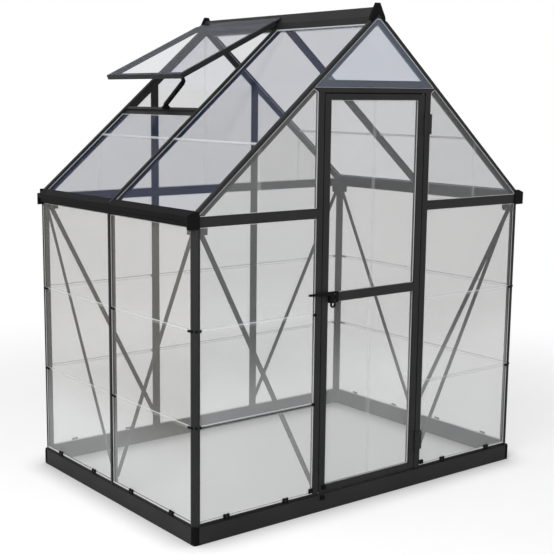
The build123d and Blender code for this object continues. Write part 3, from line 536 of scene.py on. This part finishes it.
def set_out(tree, inputs, shape):
    """Put a copy of the shape, which stands up along Y, on each point, turned the way that it faces."""
    facing = add_node(tree, "GeometryNodeInputNamedAttribute", {"Name": "facing"}, data_type="FLOAT_VECTOR")
    turn = add_node(
        tree,
        "FunctionNodeAlignRotationToVector",
        {"Vector": facing.outputs["Attribute"]},
        axis="Y",
        pivot_axis="Z",
    )
    copies = add_node(
        tree,
        "GeometryNodeInstanceOnPoints",
        {"Points": inputs["Geometry"], "Instance": shape, "Rotation": turn.outputs["Rotation"]},
    )
    return end_tree(tree, inputs, copies.outputs["Instances"])


def screw_tree():
    """Build the tree that sets a screw with a socket in its domed head on each point."""
    tree, inputs = start_tree("screw", ["Radius", "Height"])
    head = add_boss(tree, 12, inputs["Radius"], inputs["Height"], shoulder=0.66, recess=0.62)
    stood = add_node(tree, "GeometryNodeTransform", {"Geometry": head, "Rotation": UPRIGHT})
    return set_out(tree, inputs, stood.outputs["Geometry"])


def clip_tree():
    """Build the tree that sets a clip, a plate with two lugs over its edges, on each point."""
    tree, inputs = start_tree("clip", ["Width", "Height", "Depth"])
    # The plate starts as a unit square and each lug as a unit circle, and they are scaled to size.
    plate = add_boss(tree, 4, math.sqrt(0.5), inputs["Depth"], shoulder=0.86)
    lug = add_boss(tree, 8, 0.5, inputs["Depth"], shoulder=0.6)
    lug_width, lug_height, lug_depth, lug_offset = 0.3, 1.3, 1.6, 0.32
    size = {"X": inputs["Width"], "Y": inputs["Height"], "Z": 1.0}
    flat = add_node(tree, "ShaderNodeCombineXYZ", size)
    narrow = add_node(tree, "ShaderNodeMath", {0: inputs["Width"], 1: lug_width}, operation="MULTIPLY")
    tall = add_node(tree, "ShaderNodeMath", {0: inputs["Height"], 1: lug_height}, operation="MULTIPLY")
    lug_size = {"X": narrow.outputs["Value"], "Y": tall.outputs["Value"], "Z": lug_depth}
    slim = add_node(tree, "ShaderNodeCombineXYZ", lug_size)
    turned = add_node(tree, "GeometryNodeTransform", {"Geometry": plate, "Rotation": (0, 0, math.pi / 4)})
    parts = [
        add_node(
            tree,
            "GeometryNodeTransform",
            {"Geometry": turned.outputs["Geometry"], "Scale": flat.outputs["Vector"]},
        ).outputs["Geometry"]
    ]
    for side in (-lug_offset, lug_offset):
        aside = add_node(tree, "ShaderNodeMath", {0: inputs["Width"], 1: side}, operation="MULTIPLY")
        place = add_node(tree, "ShaderNodeCombineXYZ", {"X": aside.outputs["Value"]})
        moved = add_node(
            tree,
            "GeometryNodeTransform",
            {"Geometry": lug, "Translation": place.outputs["Vector"], "Scale": slim.outputs["Vector"]},
        )
        parts.append(moved.outputs["Geometry"])
    clip = add_node(tree, "GeometryNodeJoinGeometry", {"Geometry": parts}).outputs["Geometry"]
    stood = add_node(tree, "GeometryNodeTransform", {"Geometry": clip, "Rotation": UPRIGHT})
    return set_out(tree, inputs, stood.outputs["Geometry"])


def roof_height(across, depth):
    """Return the height of the roof plane, or of a line this deep below it, across from the ridge."""
    return RIDGE_TOP - ROOF_PITCH * across - depth * math.hypot(1, ROOF_PITCH)


def side_loops(gap):
    """Return the loops round the panes of the two side walls."""
    near, far = POST_RIB + gap, CORNER_LEG_Y - gap
    low, high = SHEET_BOTTOM + gap, SHEET_TOP - gap
    plane = SIDE_SHEET_FACE + WALL_BEAD_SEAT
    return [
        [(x, end * near, low), (x, end * far, low), (x, end * far, high), (x, end * near, high)]
        for x in (-plane, plane)
        for end in (-1, 1)
    ]


def gable_outlines(gap, front):
    """Return the outlines, across and up, of the panes of the front or the back gable."""
    low, high = SHEET_BOTTOM + gap, SHEET_TOP - gap
    above = TIE_TOP + gap
    outer = CORNER_LEG_X - gap
    under = RAFTER_LIP + gap
    stud = STUD_EDGE + gap if front else BACK_STUD + POST_RIB + gap
    middle = BACK_STUD - POST_RIB - gap
    outlines = []
    for side in (-1, 1):
        outlines.append([(side * x, z) for x, z in ((outer, low), (stud, low), (stud, high), (outer, high))])
        wing = [(outer, above), (stud, above)]
        if front:
            cut = stud + HEADER_CUT_ACROSS
            wing += [(stud, HEADER_TOP - HEADER_CUT_DOWN), (cut, roof_height(cut, under))]
        else:
            wing += [(stud, roof_height(stud, under))]
        # The outer end stands 1 mm higher, so that its two corners stay apart.
        wing.append((outer, max(above, roof_height(outer, under)) + 1))
        outlines.append([(side * x, z) for x, z in wing])
    if front:
        foot = HEADER_TOP + gap
        reach = (roof_height(0, under) - foot) / ROOF_PITCH
        crown = [(-reach, foot), (reach, foot)]
    else:
        outlines.append([(-middle, low), (middle, low), (middle, high), (-middle, high)])
        shoulder = roof_height(middle, under)
        crown = [(-middle, shoulder), (-middle, above), (middle, above), (middle, shoulder)]
    peak = roof_height(ROOF_PEAK, under)
    crown += [(ROOF_PEAK, peak), (-ROOF_PEAK, peak)]
    outlines.append(crown)
    return outlines


def gable_loops(gap):
    """Return the loops round the panes of both gables."""
    plane = GABLE_SHEET_FACE + WALL_BEAD_SEAT
    loops = []
    for y, front in ((-plane, True), (plane, False)):
        loops += [[(x, y, z) for x, z in outline] for outline in gable_outlines(gap, front)]
    return loops


def roof_loops(gap):
    """Return the loops round the panes of the roof, with the bay behind the vent ending at its sill."""
    near, far = POST_RIB + gap, RAFTER_INSIDE - gap
    loops = []
    for side in (-1, 1):
        for end in (-1, 1):
            top = VENT_SILL + gap if (side, end) == (-1, 1) else RIDGE_WING + gap
            ends = ((top, near), (top, far), (EAVE_BAR - gap, far), (EAVE_BAR - gap, near))
            loops.append([(side * x, end * y, roof_height(x, ROOF_BEAD_DEPTH)) for x, y in ends])
    return loops


def ridge_lines(radius):
    """Return the lines along the wings of the ridge, clear of the vent."""
    across = RIDGE_WING + radius
    near, far = POST_RIB + radius, RAFTER_INSIDE - radius
    z = roof_height(across, ROOF_BEAD_DEPTH)
    return [
        [(side * across, end * near, z), (side * across, end * far, z)]
        for side, end in ((-1, -1), (1, -1), (1, 1))
    ]


def level_lines(side, gable, heights):
    """Return level lines on all four walls, between the posts and studs, at each of some heights."""
    middle, back = BACK_STUD - POST_RIB, BACK_STUD + POST_RIB
    lines = []
    for z in heights:
        lines.append([(-middle, gable, z), (middle, gable, z)])
        for end in (-1, 1):
            for wall in (-1, 1):
                lines.append([(wall * side, end * POST_RIB, z), (wall * side, end * CORNER_LEG_Y, z)])
            lines.append([(end * STUD_EDGE, -gable, z), (end * CORNER_LEG_X, -gable, z)])
            lines.append([(end * back, gable, z), (end * CORNER_LEG_X, gable, z)])
    return lines


def rail_lines(radius):
    """Return the lines along the tops of the bottom rails."""
    side, gable = SIDE_SHEET_FACE + WALL_BEAD_SEAT, GABLE_SHEET_FACE + WALL_BEAD_SEAT
    return level_lines(side, gable, [SHEET_BOTTOM + radius])


def strip_lines():
    """Return the lines along the upper edges of the walls' joint strips."""
    side, gable = SIDE_PLANE - STRIP_DEPTH, GABLE_PLANE - STRIP_DEPTH
    return level_lines(side, gable, [height + STRIP_EDGE for height in JOINT_HEIGHTS])


def shadow_seal_lines():
    """Return the line along the lower edge of the lower joint strip left of the door, for the seal that is
    painted shadow.
    """
    y, z = STRIP_DEPTH - GABLE_PLANE, JOINT_HEIGHTS[0] - STRIP_EDGE
    return [[(-STUD_EDGE, y, z), (-CORNER_LEG_X, y, z)]]


def roof_strip_lines():
    """Return the lines along the joint strips of the roof, between the rafters."""
    z = roof_height(ROOF_JOINT, STRIP_DEPTH)
    return [
        [(side * ROOF_JOINT, end * POST_RIB, z), (side * ROOF_JOINT, end * RAFTER_INSIDE, z)]
        for side in (-1, 1)
        for end in (-1, 1)
    ]


def ring_loop():
    """Return the loop that the sleeve on the latch ring follows."""
    x, y, z = LATCH_RING
    turns = [2 * math.pi * step / LATCH_RING_STEPS for step in range(LATCH_RING_STEPS)]
    return [
        (x + LATCH_RING_RADIUS * math.cos(turn), y, z + LATCH_RING_RADIUS * math.sin(turn))
        for turn in turns
    ]


def door_loops(gap):
    """Return the loops round the two panes of the door."""
    edge = DOOR_STILE_EDGE - gap
    y = -DOOR_SHEET_FACE - DOOR_BEAD_SEAT
    return [
        [(-edge, y, low + gap), (edge, y, low + gap), (edge, y, high - gap), (-edge, y, high - gap)]
        for low, high in DOOR_PANES
    ]


def rail_clip_places():
    """Return where the clips hold the sheets to the bottom rails."""
    places = []
    for end in (-1, 1):
        places += [((x, end * GABLE_PLANE, RAIL_CLIP_HEIGHT), (0, end, 0)) for x in RAIL_CLIPS_X]
        places += [((end * SIDE_PLANE, y, RAIL_CLIP_HEIGHT), (end, 0, 0)) for y in RAIL_CLIPS_Y]
    return places


def joint_clip_places():
    """Return where the clips close the ends of the joint strips at the posts."""
    side, gable = SIDE_SHEET_FACE + CLIP_SEAT, GABLE_SHEET_FACE + CLIP_SEAT
    places = []
    for height in JOINT_HEIGHTS:
        for end in (-1, 1):
            for y in (MID_POST_CLIP_Y, *CORNER_CLIPS_Y):
                places.append(((end * side, y, height), (end, 0, 0)))
            for x in CORNER_CLIPS_X:
                places.append(((x, end * gable, height), (0, end, 0)))
    return places


def stud_clip_places():
    """Return where the small clips close the ends of the joint strips at the studs."""
    gable = GABLE_SHEET_FACE + CLIP_SEAT
    places = []
    for height in JOINT_HEIGHTS:
        places.append(((FRONT_STUD_CLIP_X, -gable, height), (0, -1, 0)))
        for side in (-1, 1):
            places.append(((side * BACK_STUD_CLIP_X, gable, height), (0, 1, 0)))
    return places


def foot_clip_places():
    """Return where the clips stand at the feet of the door studs, and the catch on the base."""
    places = [((side * STUD_FOOT_X, -GABLE_PLANE, STUD_FOOT_HEIGHT), (0, -1, 0)) for side in (-1, 1)]
    return places + [((CATCH_X, -BASE_FRONT, CATCH_HEIGHT), (0, -1, 0))]


def corner_ribs():
    """Return the lines of the grip ribs on the outer faces of the base corners."""
    feet = [(BASE_SIDE, BASE_FRONT - back) for back in reversed(RIB_SETBACKS)]
    feet.append((BASE_SIDE - RIB_CORNER_SETBACK, BASE_FRONT - RIB_CORNER_SETBACK))
    feet += [(BASE_SIDE - back, BASE_FRONT) for back in RIB_SETBACKS]
    return [
        [(side * x, end * y, RIB_BOTTOM), (side * x, end * y, RIB_TOP)]
        for side in (-1, 1)
        for end in (-1, 1)
        for x, y in feet
    ]


def hinge_screw_places(x):
    """Return where the screws sit on the hinge leaves that stand this far across."""
    return [((x, HINGE_FACE, z + rise), (0, -1, 0)) for z in HINGE_HEIGHTS for rise in HINGE_SCREW_RISES]


def frame_screw_places(clip_depth):
    """Return where the screws sit on the frame: hinge leaves, ends of the braces and rail clips."""
    places = hinge_screw_places(FRAME_LEAF_X)
    for side in (-1, 1):
        for end in (-1, 1):
            places += [((side * x, end * GABLE_BRACE_FACE, z), (0, -end, 0)) for x, z in GABLE_BRACE_ENDS]
            places += [((end * SIDE_BRACE_FACE, side * y, z), (-end, 0, 0)) for y, z in SIDE_BRACE_ENDS]
    for (x, y, z), facing in rail_clip_places():
        places.append(((x + clip_depth * facing[0], y + clip_depth * facing[1], z), facing))
    return places


def door_screw_places():
    """Return where the screws sit on the door: hinge leaves and latch."""
    latch = [((LATCH_SCREW_X, LATCH_FACE, z), (0, -1, 0)) for z in LATCH_SCREW_HEIGHTS]
    return hinge_screw_places(DOOR_LEAF_X) + latch


class GREENHOUSE_OT_paint_bars(bpy.types.Operator):
    """Powder coat the bars of the frame and the door"""

    bl_idname = "greenhouse.paint_bars"
    bl_label = "Paint the bars"

    def execute(self, context):
        finish = context.scene.greenhouse_finish
        finish_nodes(PAINTED_BARS, powder_coat("powder_coated_aluminium", list(finish.bar_color), gloss=0.15))
        # Painted shade: the gutters' coat is darkened to stand in for the shade that falls in their hollow
        # profile.
        finish_nodes(GUTTERS, powder_coat("powder_coated_gutter_painted_shade", list(finish.gutter_shade_color), gloss=0.06))
        return {"FINISHED"}


class GREENHOUSE_OT_mould_pieces(bpy.types.Operator):
    """Give the corners, caps, latch and vent stay their moulded finish"""

    bl_idname = "greenhouse.mould_pieces"
    bl_label = "Finish the moulded pieces"

    def execute(self, context):
        finish = context.scene.greenhouse_finish
        finish_nodes(MOULDED_PIECES, moulded_plastic(list(finish.plastic_color)))
        return {"FINISHED"}


class GREENHOUSE_OT_glaze(bpy.types.Operator):
    """Glaze the walls, the roof and the door with clear sheets"""

    bl_idname = "greenhouse.glaze"
    bl_label = "Glaze the walls and the roof"

    def execute(self, context):
        finish = context.scene.greenhouse_finish
        wall, foot, side = list(finish.wall_color), list(finish.foot_reflection_color), list(finish.side_color)
        roof, crown, strip = list(finish.roof_reflection_color), list(finish.crown_reflection_color), list(finish.strip_color)
        # The foot, crown and roof colours are painted reflections of the floor and the sky; the sheets are
        # one clear material.
        for nodes, name, color, haze, rough, other, fade in (
            (WALL_SHEETS, "wall", foot, WALL_HAZE, SHEET_ROUGHNESS, wall, WALL_FADE),
            (SIDE_SHEETS, "side", foot, WALL_HAZE, SHEET_ROUGHNESS, side, SIDE_FADE),
            (GABLE_SHEETS, "gable", wall, GABLE_HAZE, SHEET_ROUGHNESS, crown, CROWN_FADE),
            (ROOF_SHEETS, "roof", roof, ROOF_HAZE, SHEET_ROUGHNESS, None, None),
            (JOINT_STRIPS, "strip", strip, STRIP_HAZE, BEAD_ROUGHNESS, None, None),
        ):
            sheet = clear_polycarbonate("clear_polycarbonate_" + name, color, haze, rough, other, fade)
            finish_nodes(nodes, sheet)
        return {"FINISHED"}


class GREENHOUSE_OT_bead_sheets(bpy.types.Operator):
    """Run near-white beads round the panes and along the ridge, rails and strips as painted highlights, and
    lay the seal as painted shadow
    """

    bl_idname = "greenhouse.bead_sheets"
    bl_label = "Bead the sheets"

    def execute(self, context):
        finish, sizes = context.scene.greenhouse_finish, context.scene.greenhouse_fittings
        # The beads' near-white colour is a painted highlight of the light on the sheets' edges, the ridge
        # wings, the rail tops and the strip edges.
        white = list(finish.bead_highlight_color)
        clear = clear_polycarbonate("clear_polycarbonate_bead_painted_highlight", white, BEAD_HAZE, BEAD_ROUGHNESS)
        rail_bead_highlight = clear_polycarbonate("clear_polycarbonate_rail_bead_painted_highlight", white, RAIL_BEAD_HAZE, BEAD_ROUGHNESS)
        seal = {"Radius": sizes.shadow_seal_radius, "Material": rubber(list(finish.seal_shadow_color))}
        edge = {"Radius": sizes.bead_radius, "Material": clear}
        ridge = {"Radius": sizes.ridge_bead_radius, "Material": clear}
        rail = {"Radius": sizes.rail_bead_radius, "Material": rail_bead_highlight}
        strip = {"Radius": sizes.strip_bead_radius, "Material": clear}
        roof_strip = {"Radius": sizes.roof_bead_radius, "Material": clear}
        gap = 1000 * sizes.bead_radius
        walls = line_mesh(side_loops(gap) + gable_loops(gap), True)
        roof = line_mesh(roof_loops(gap), True)
        roof_strips = line_mesh(roof_strip_lines(), False)
        wings = line_mesh(ridge_lines(1000 * sizes.ridge_bead_radius), False)
        rails = line_mesh(rail_lines(1000 * sizes.rail_bead_radius), False)
        tree = bead_tree()
        grow("wall_beads", tree, walls, edge, "frame")
        grow("roof_beads", tree, roof, edge, "frame")
        grow("ridge_beads", tree, wings, ridge, "frame")
        grow("rail_beads", tree, rails, rail, "frame")
        grow("strip_beads", tree, line_mesh(strip_lines(), False), strip, "frame")
        grow("roof_strip_beads", tree, roof_strips, roof_strip, "frame")
        # The seal is painted shadow: a dark line drawn as a rubber seal where the strip's shadow falls.
        grow("strip_seal_painted_shadow", tree, line_mesh(shadow_seal_lines(), False), seal, "frame")
        grow("door_beads", tree, line_mesh(door_loops(gap), True), edge, "door")
        return {"FINISHED"}


class GREENHOUSE_OT_fit_clips(bpy.types.Operator):
    """Clip the sheets to the rails, posts and studs, and fit the catch on the base"""

    bl_idname = "greenhouse.fit_clips"
    bl_label = "Fit the clips"

    def execute(self, context):
        sizes = context.scene.greenhouse_fittings
        black = bpy.data.materials["moulded_polypropylene"]
        tree = clip_tree()
        large = {
            "Width": sizes.clip_width,
            "Height": sizes.clip_height,
            "Depth": sizes.clip_depth,
            "Material": black,
        }
        low = dict(large, Height=0.5 * sizes.clip_height)
        small = dict(large, Width=0.5 * sizes.clip_width, Height=0.6 * sizes.clip_height)
        narrow = dict(large, Width=0.7 * sizes.clip_width)
        grow("rail_clips", tree, point_mesh(rail_clip_places()), large, "frame")
        grow("joint_clips", tree, point_mesh(joint_clip_places()), low, "frame")
        grow("stud_clips", tree, point_mesh(stud_clip_places()), small, "frame")
        grow("foot_clips", tree, point_mesh(foot_clip_places()), narrow, "frame")
        door_corner = [((DOOR_FOOT_X, -GABLE_PLANE, DOOR_FOOT_HEIGHT), (0, -1, 0))]
        grow("door_clip", tree, point_mesh(door_corner), narrow, "door")
        return {"FINISHED"}


class GREENHOUSE_OT_rib_corners(bpy.types.Operator):
    """Raise the grip ribs on the base corners"""

    bl_idname = "greenhouse.rib_corners"
    bl_label = "Rib the base corners"

    def execute(self, context):
        sizes = context.scene.greenhouse_fittings
        black = bpy.data.materials["moulded_polypropylene"]
        values = {"Radius": sizes.rib_radius, "Material": black}
        grow("corner_ribs", bead_tree(), line_mesh(corner_ribs(), False), values, "frame")
        return {"FINISHED"}


class GREENHOUSE_OT_fit_sleeves(bpy.types.Operator):
    """Slip the sleeves over the vent stay and the latch ring"""

    bl_idname = "greenhouse.fit_sleeves"
    bl_label = "Fit the sleeves"

    def execute(self, context):
        sizes = context.scene.greenhouse_fittings
        black = bpy.data.materials["moulded_polypropylene"]
        tree = bead_tree()
        stay = {"Radius": sizes.stay_sleeve_radius, "Material": black}
        ring = {"Radius": sizes.ring_sleeve_radius, "Material": black}
        stay_line = [[STAY_HEAD, STAY_FOOT]]
        grow("stay_sleeve", tree, line_mesh(stay_line, False), stay, "frame")
        grow("ring_sleeve", tree, line_mesh([ring_loop()], True), ring, "door")
        return {"FINISHED"}


class GREENHOUSE_OT_drive_screws(bpy.types.Operator):
    """Drive the screws of the hinges, the braces, the clips and the latch"""

    bl_idname = "greenhouse.drive_screws"
    bl_label = "Drive the screws"

    def execute(self, context):
        finish, sizes = context.scene.greenhouse_finish, context.scene.greenhouse_fittings
        steel = blackened_steel(list(finish.screw_color))
        values = {"Radius": sizes.screw_radius, "Height": sizes.screw_height, "Material": steel}
        tree = screw_tree()
        on_frame = frame_screw_places(1000 * sizes.clip_depth)
        grow("frame_screws", tree, point_mesh(on_frame), values, "frame")
        grow("door_screws", tree, point_mesh(door_screw_places()), values, "door")
        return {"FINISHED"}


class GREENHOUSE_OT_stage(bpy.types.Operator):
    """Set the floor, the light and the camera of a plain studio"""

    bl_idname = "greenhouse.stage"
    bl_label = "Set the studio"

    def execute(self, context):
        stage = context.scene.greenhouse_stage
        self.lay_floor()
        self.light_world(context.scene, stage.sky_strength)
        self.hang_key_lamp(context.scene, stage.key_power)
        self.place_camera(context.scene, stage)
        # A line of sight may cross many clear surfaces, two for each sheet, strip and bead.
        context.scene.cycles.transparent_max_bounces = CLEAR_LAYERS
        context.scene.view_settings.view_transform = "Standard"
        return {"FINISHED"}

    def lay_floor(self):
        """Lay a pale floor that keeps the shadow close by and fades to white further away."""
        reach = FLOOR_REACH
        mesh = bpy.data.meshes.new("studio_floor")
        corners = [(-reach, -reach, 0), (reach, -reach, 0), (reach, reach, 0), (-reach, reach, 0)]
        mesh.from_pydata(corners, [], [(0, 1, 2, 3)])
        floor = bpy.data.objects.new("studio_floor", mesh)
        bpy.context.scene.collection.objects.link(floor)
        material = bpy.data.materials.new("studio_floor_paint")
        material.use_nodes = True
        tree = material.node_tree
        tree.nodes.clear()
        seen = self.seen_rays(tree)
        place = add_node(tree, "ShaderNodeTexCoord").outputs["Object"]
        away = add_node(tree, "ShaderNodeVectorMath", {0: place}, operation="LENGTH")
        far = add_node(
            tree,
            "ShaderNodeMapRange",
            {"Value": away.outputs["Value"], "From Min": FLOOR_FADE[0], "From Max": FLOOR_FADE[1]},
            interpolation_type="SMOOTHSTEP",
        )
        cloud = add_node(tree, "ShaderNodeTexNoise", {"Vector": place, "Scale": grain(400)})
        tone = two_tone(tree, cloud.outputs["Fac"], FLOOR_TONE, spread=0.01)
        paint = add_node(tree, "ShaderNodeBsdfDiffuse", {"Color": tone})
        open_sky = add_node(tree, "ShaderNodeAmbientOcclusion", {"Distance": CONTACT_SHADE_REACH}, samples=8)
        near = add_node(
            tree,
            "ShaderNodeMath",
            {0: open_sky.outputs["AO"], 1: CONTACT_SHADE_DEPTH},
            operation="POWER",
        )
        shade = self.shade_inside(tree, place)
        level = add_node(tree, "ShaderNodeMath", {0: near.outputs["Value"], 1: shade}, operation="MULTIPLY")
        lift = add_node(tree, "ShaderNodeMath", {0: seen, 1: level.outputs["Value"]}, operation="MULTIPLY")
        glow = add_node(tree, "ShaderNodeEmission", {"Strength": lift.outputs["Value"]})
        lit = add_node(tree, "ShaderNodeAddShader", {0: paint.outputs["BSDF"], 1: glow.outputs["Emission"]})
        white = add_node(tree, "ShaderNodeEmission", {"Strength": 1.0})
        fade = add_node(tree, "ShaderNodeMath", {0: far.outputs["Result"], 1: seen}, operation="MULTIPLY")
        mixed = add_node(
            tree,
            "ShaderNodeMixShader",
            {0: fade.outputs["Value"], 1: lit.outputs["Shader"], 2: white.outputs["Emission"]},
        )
        add_node(tree, "ShaderNodeOutputMaterial", {"Surface": mixed.outputs["Shader"]})
        mesh.materials.append(material)

    def shade_inside(self, tree, place):
        """Return the floor's lift, less inside the base, where the sheets hold back part of the light."""
        axes = add_node(tree, "ShaderNodeSeparateXYZ", {"Vector": place})
        inside = 1.0
        for axis, edge in (("X", BASE_SIDE), ("Y", BASE_FRONT)):
            span = add_node(tree, "ShaderNodeMath", {0: axes.outputs[axis]}, operation="ABSOLUTE")
            within = add_node(
                tree,
                "ShaderNodeMath",
                {0: span.outputs["Value"], 1: mm(edge)},
                operation="LESS_THAN",
            )
            both = add_node(
                tree,
                "ShaderNodeMath",
                {0: within.outputs["Value"], 1: inside},
                operation="MULTIPLY",
            )
            inside = both.outputs["Value"]
        level = add_node(
            tree,
            "ShaderNodeMapRange",
            {"Value": inside, "To Min": FLOOR_LIFT_OUTSIDE, "To Max": FLOOR_LIFT_INSIDE},
        )
        return level.outputs["Result"]

    def seen_rays(self, tree):
        """Return 1 for the rays that look at the studio, plainly, in a gloss or through glass."""
        path = add_node(tree, "ShaderNodeLightPath").outputs
        seen = path["Is Camera Ray"]
        for kind in ("Is Glossy Ray", "Is Transmission Ray"):
            either = add_node(tree, "ShaderNodeMath", {0: seen, 1: path[kind]}, operation="MAXIMUM")
            seen = either.outputs["Value"]
        return seen

    def light_world(self, scene, strength):
        """Light the studio evenly from all around, with a white background."""
        world = bpy.data.worlds.new("studio_sky")
        world.use_nodes = True
        tree = world.node_tree
        tree.nodes.clear()
        toward = add_node(tree, "ShaderNodeTexCoord").outputs["Generated"]
        rise = add_node(tree, "ShaderNodeSeparateXYZ", {"Vector": toward})
        dome = add_node(
            tree,
            "ShaderNodeMapRange",
            {
                "Value": rise.outputs["Z"],
                "To Min": SKY_AT_HORIZON * strength,
                "To Max": SKY_OVERHEAD * strength,
            },
        )
        level = add_node(
            tree,
            "ShaderNodeMapRange",
            {"Value": self.seen_rays(tree), "To Min": dome.outputs["Result"], "To Max": 1.0},
        )
        sky = add_node(
            tree,
            "ShaderNodeBackground",
            {"Color": (1.0, 1.0, 1.0, 1.0), "Strength": level.outputs["Result"]},
        )
        add_node(tree, "ShaderNodeOutputWorld", {"Surface": sky.outputs["Background"]})
        scene.world = world

    def hang_key_lamp(self, scene, power):
        """Hang a large soft lamp to the left of the front."""
        lamp = bpy.data.lights.new("key_lamp", "AREA")
        lamp.energy = power
        lamp.size = KEY_SIZE
        holder = bpy.data.objects.new("key_lamp", lamp)
        holder.location = KEY_PLACE
        holder.rotation_euler = (Vector(KEY_AIM) - Vector(KEY_PLACE)).to_track_quat("-Z", "Y").to_euler()
        scene.collection.objects.link(holder)

    def place_camera(self, scene, stage):
        """Set the camera at its place, turned by its yaw, pitch and roll."""
        yaw, pitch, roll = stage.camera_yaw, stage.camera_pitch, stage.camera_roll
        ahead = Vector((
            math.sin(yaw) * math.cos(pitch),
            math.cos(yaw) * math.cos(pitch),
            -math.sin(pitch),
        ))
        level = Vector((math.cos(yaw), -math.sin(yaw), 0))
        above = level.cross(ahead)
        right = level * math.cos(roll) + above * math.sin(roll)
        up = above * math.cos(roll) - level * math.sin(roll)
        lens = bpy.data.cameras.new("camera")
        lens.sensor_fit = "HORIZONTAL"
        lens.sensor_width = 36.0
        lens.lens = stage.camera_lens
        lens.shift_x = stage.camera_shift
        camera = bpy.data.objects.new("camera", lens)
        turn = Matrix((right, up, -ahead)).transposed().to_4x4()
        camera.matrix_world = Matrix.Translation(stage.camera_place) @ turn
        scene.collection.objects.link(camera)
        scene.camera = camera


STEPS = [
    GREENHOUSE_OT_paint_bars,
    GREENHOUSE_OT_mould_pieces,
    GREENHOUSE_OT_glaze,
    GREENHOUSE_OT_bead_sheets,
    GREENHOUSE_OT_fit_clips,
    GREENHOUSE_OT_rib_corners,
    GREENHOUSE_OT_fit_sleeves,
    GREENHOUSE_OT_drive_screws,
    GREENHOUSE_OT_stage,
]


class GREENHOUSE_PT_steps(bpy.types.Panel):
    """Lists the steps that dress the greenhouse"""

    bl_idname = "GREENHOUSE_PT_steps"
    bl_label = "Greenhouse"
    bl_space_type = "VIEW_3D"
    bl_region_type = "UI"
    bl_category = "Greenhouse"

    def draw(self, context):
        for step in STEPS:
            self.layout.operator(step.bl_idname)


CLASSES = [FinishAndPaintedLightSettings, FittingSettings, StageSettings, *STEPS, GREENHOUSE_PT_steps]


def register():
    """Register the classes and hang the settings on the scene."""
    for cls in CLASSES:
        bpy.utils.register_class(cls)
    bpy.types.Scene.greenhouse_finish = bpy.props.PointerProperty(type=FinishAndPaintedLightSettings)
    bpy.types.Scene.greenhouse_fittings = bpy.props.PointerProperty(type=FittingSettings)
    bpy.types.Scene.greenhouse_stage = bpy.props.PointerProperty(type=StageSettings)


def unregister():
    """Take the settings and the classes away again."""
    del bpy.types.Scene.greenhouse_stage
    del bpy.types.Scene.greenhouse_fittings
    del bpy.types.Scene.greenhouse_finish
    for cls in reversed(CLASSES):
        bpy.utils.unregister_class(cls)


def main():
    """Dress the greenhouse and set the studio."""
    register()
    bpy.ops.greenhouse.paint_bars()
    bpy.ops.greenhouse.mould_pieces()
    bpy.ops.greenhouse.glaze()
    bpy.ops.greenhouse.bead_sheets()
    bpy.ops.greenhouse.fit_clips()
    bpy.ops.greenhouse.rib_corners()
    bpy.ops.greenhouse.fit_sleeves()
    bpy.ops.greenhouse.drive_screws()
    bpy.ops.greenhouse.stage()


if __name__ == "__main__":
    main()
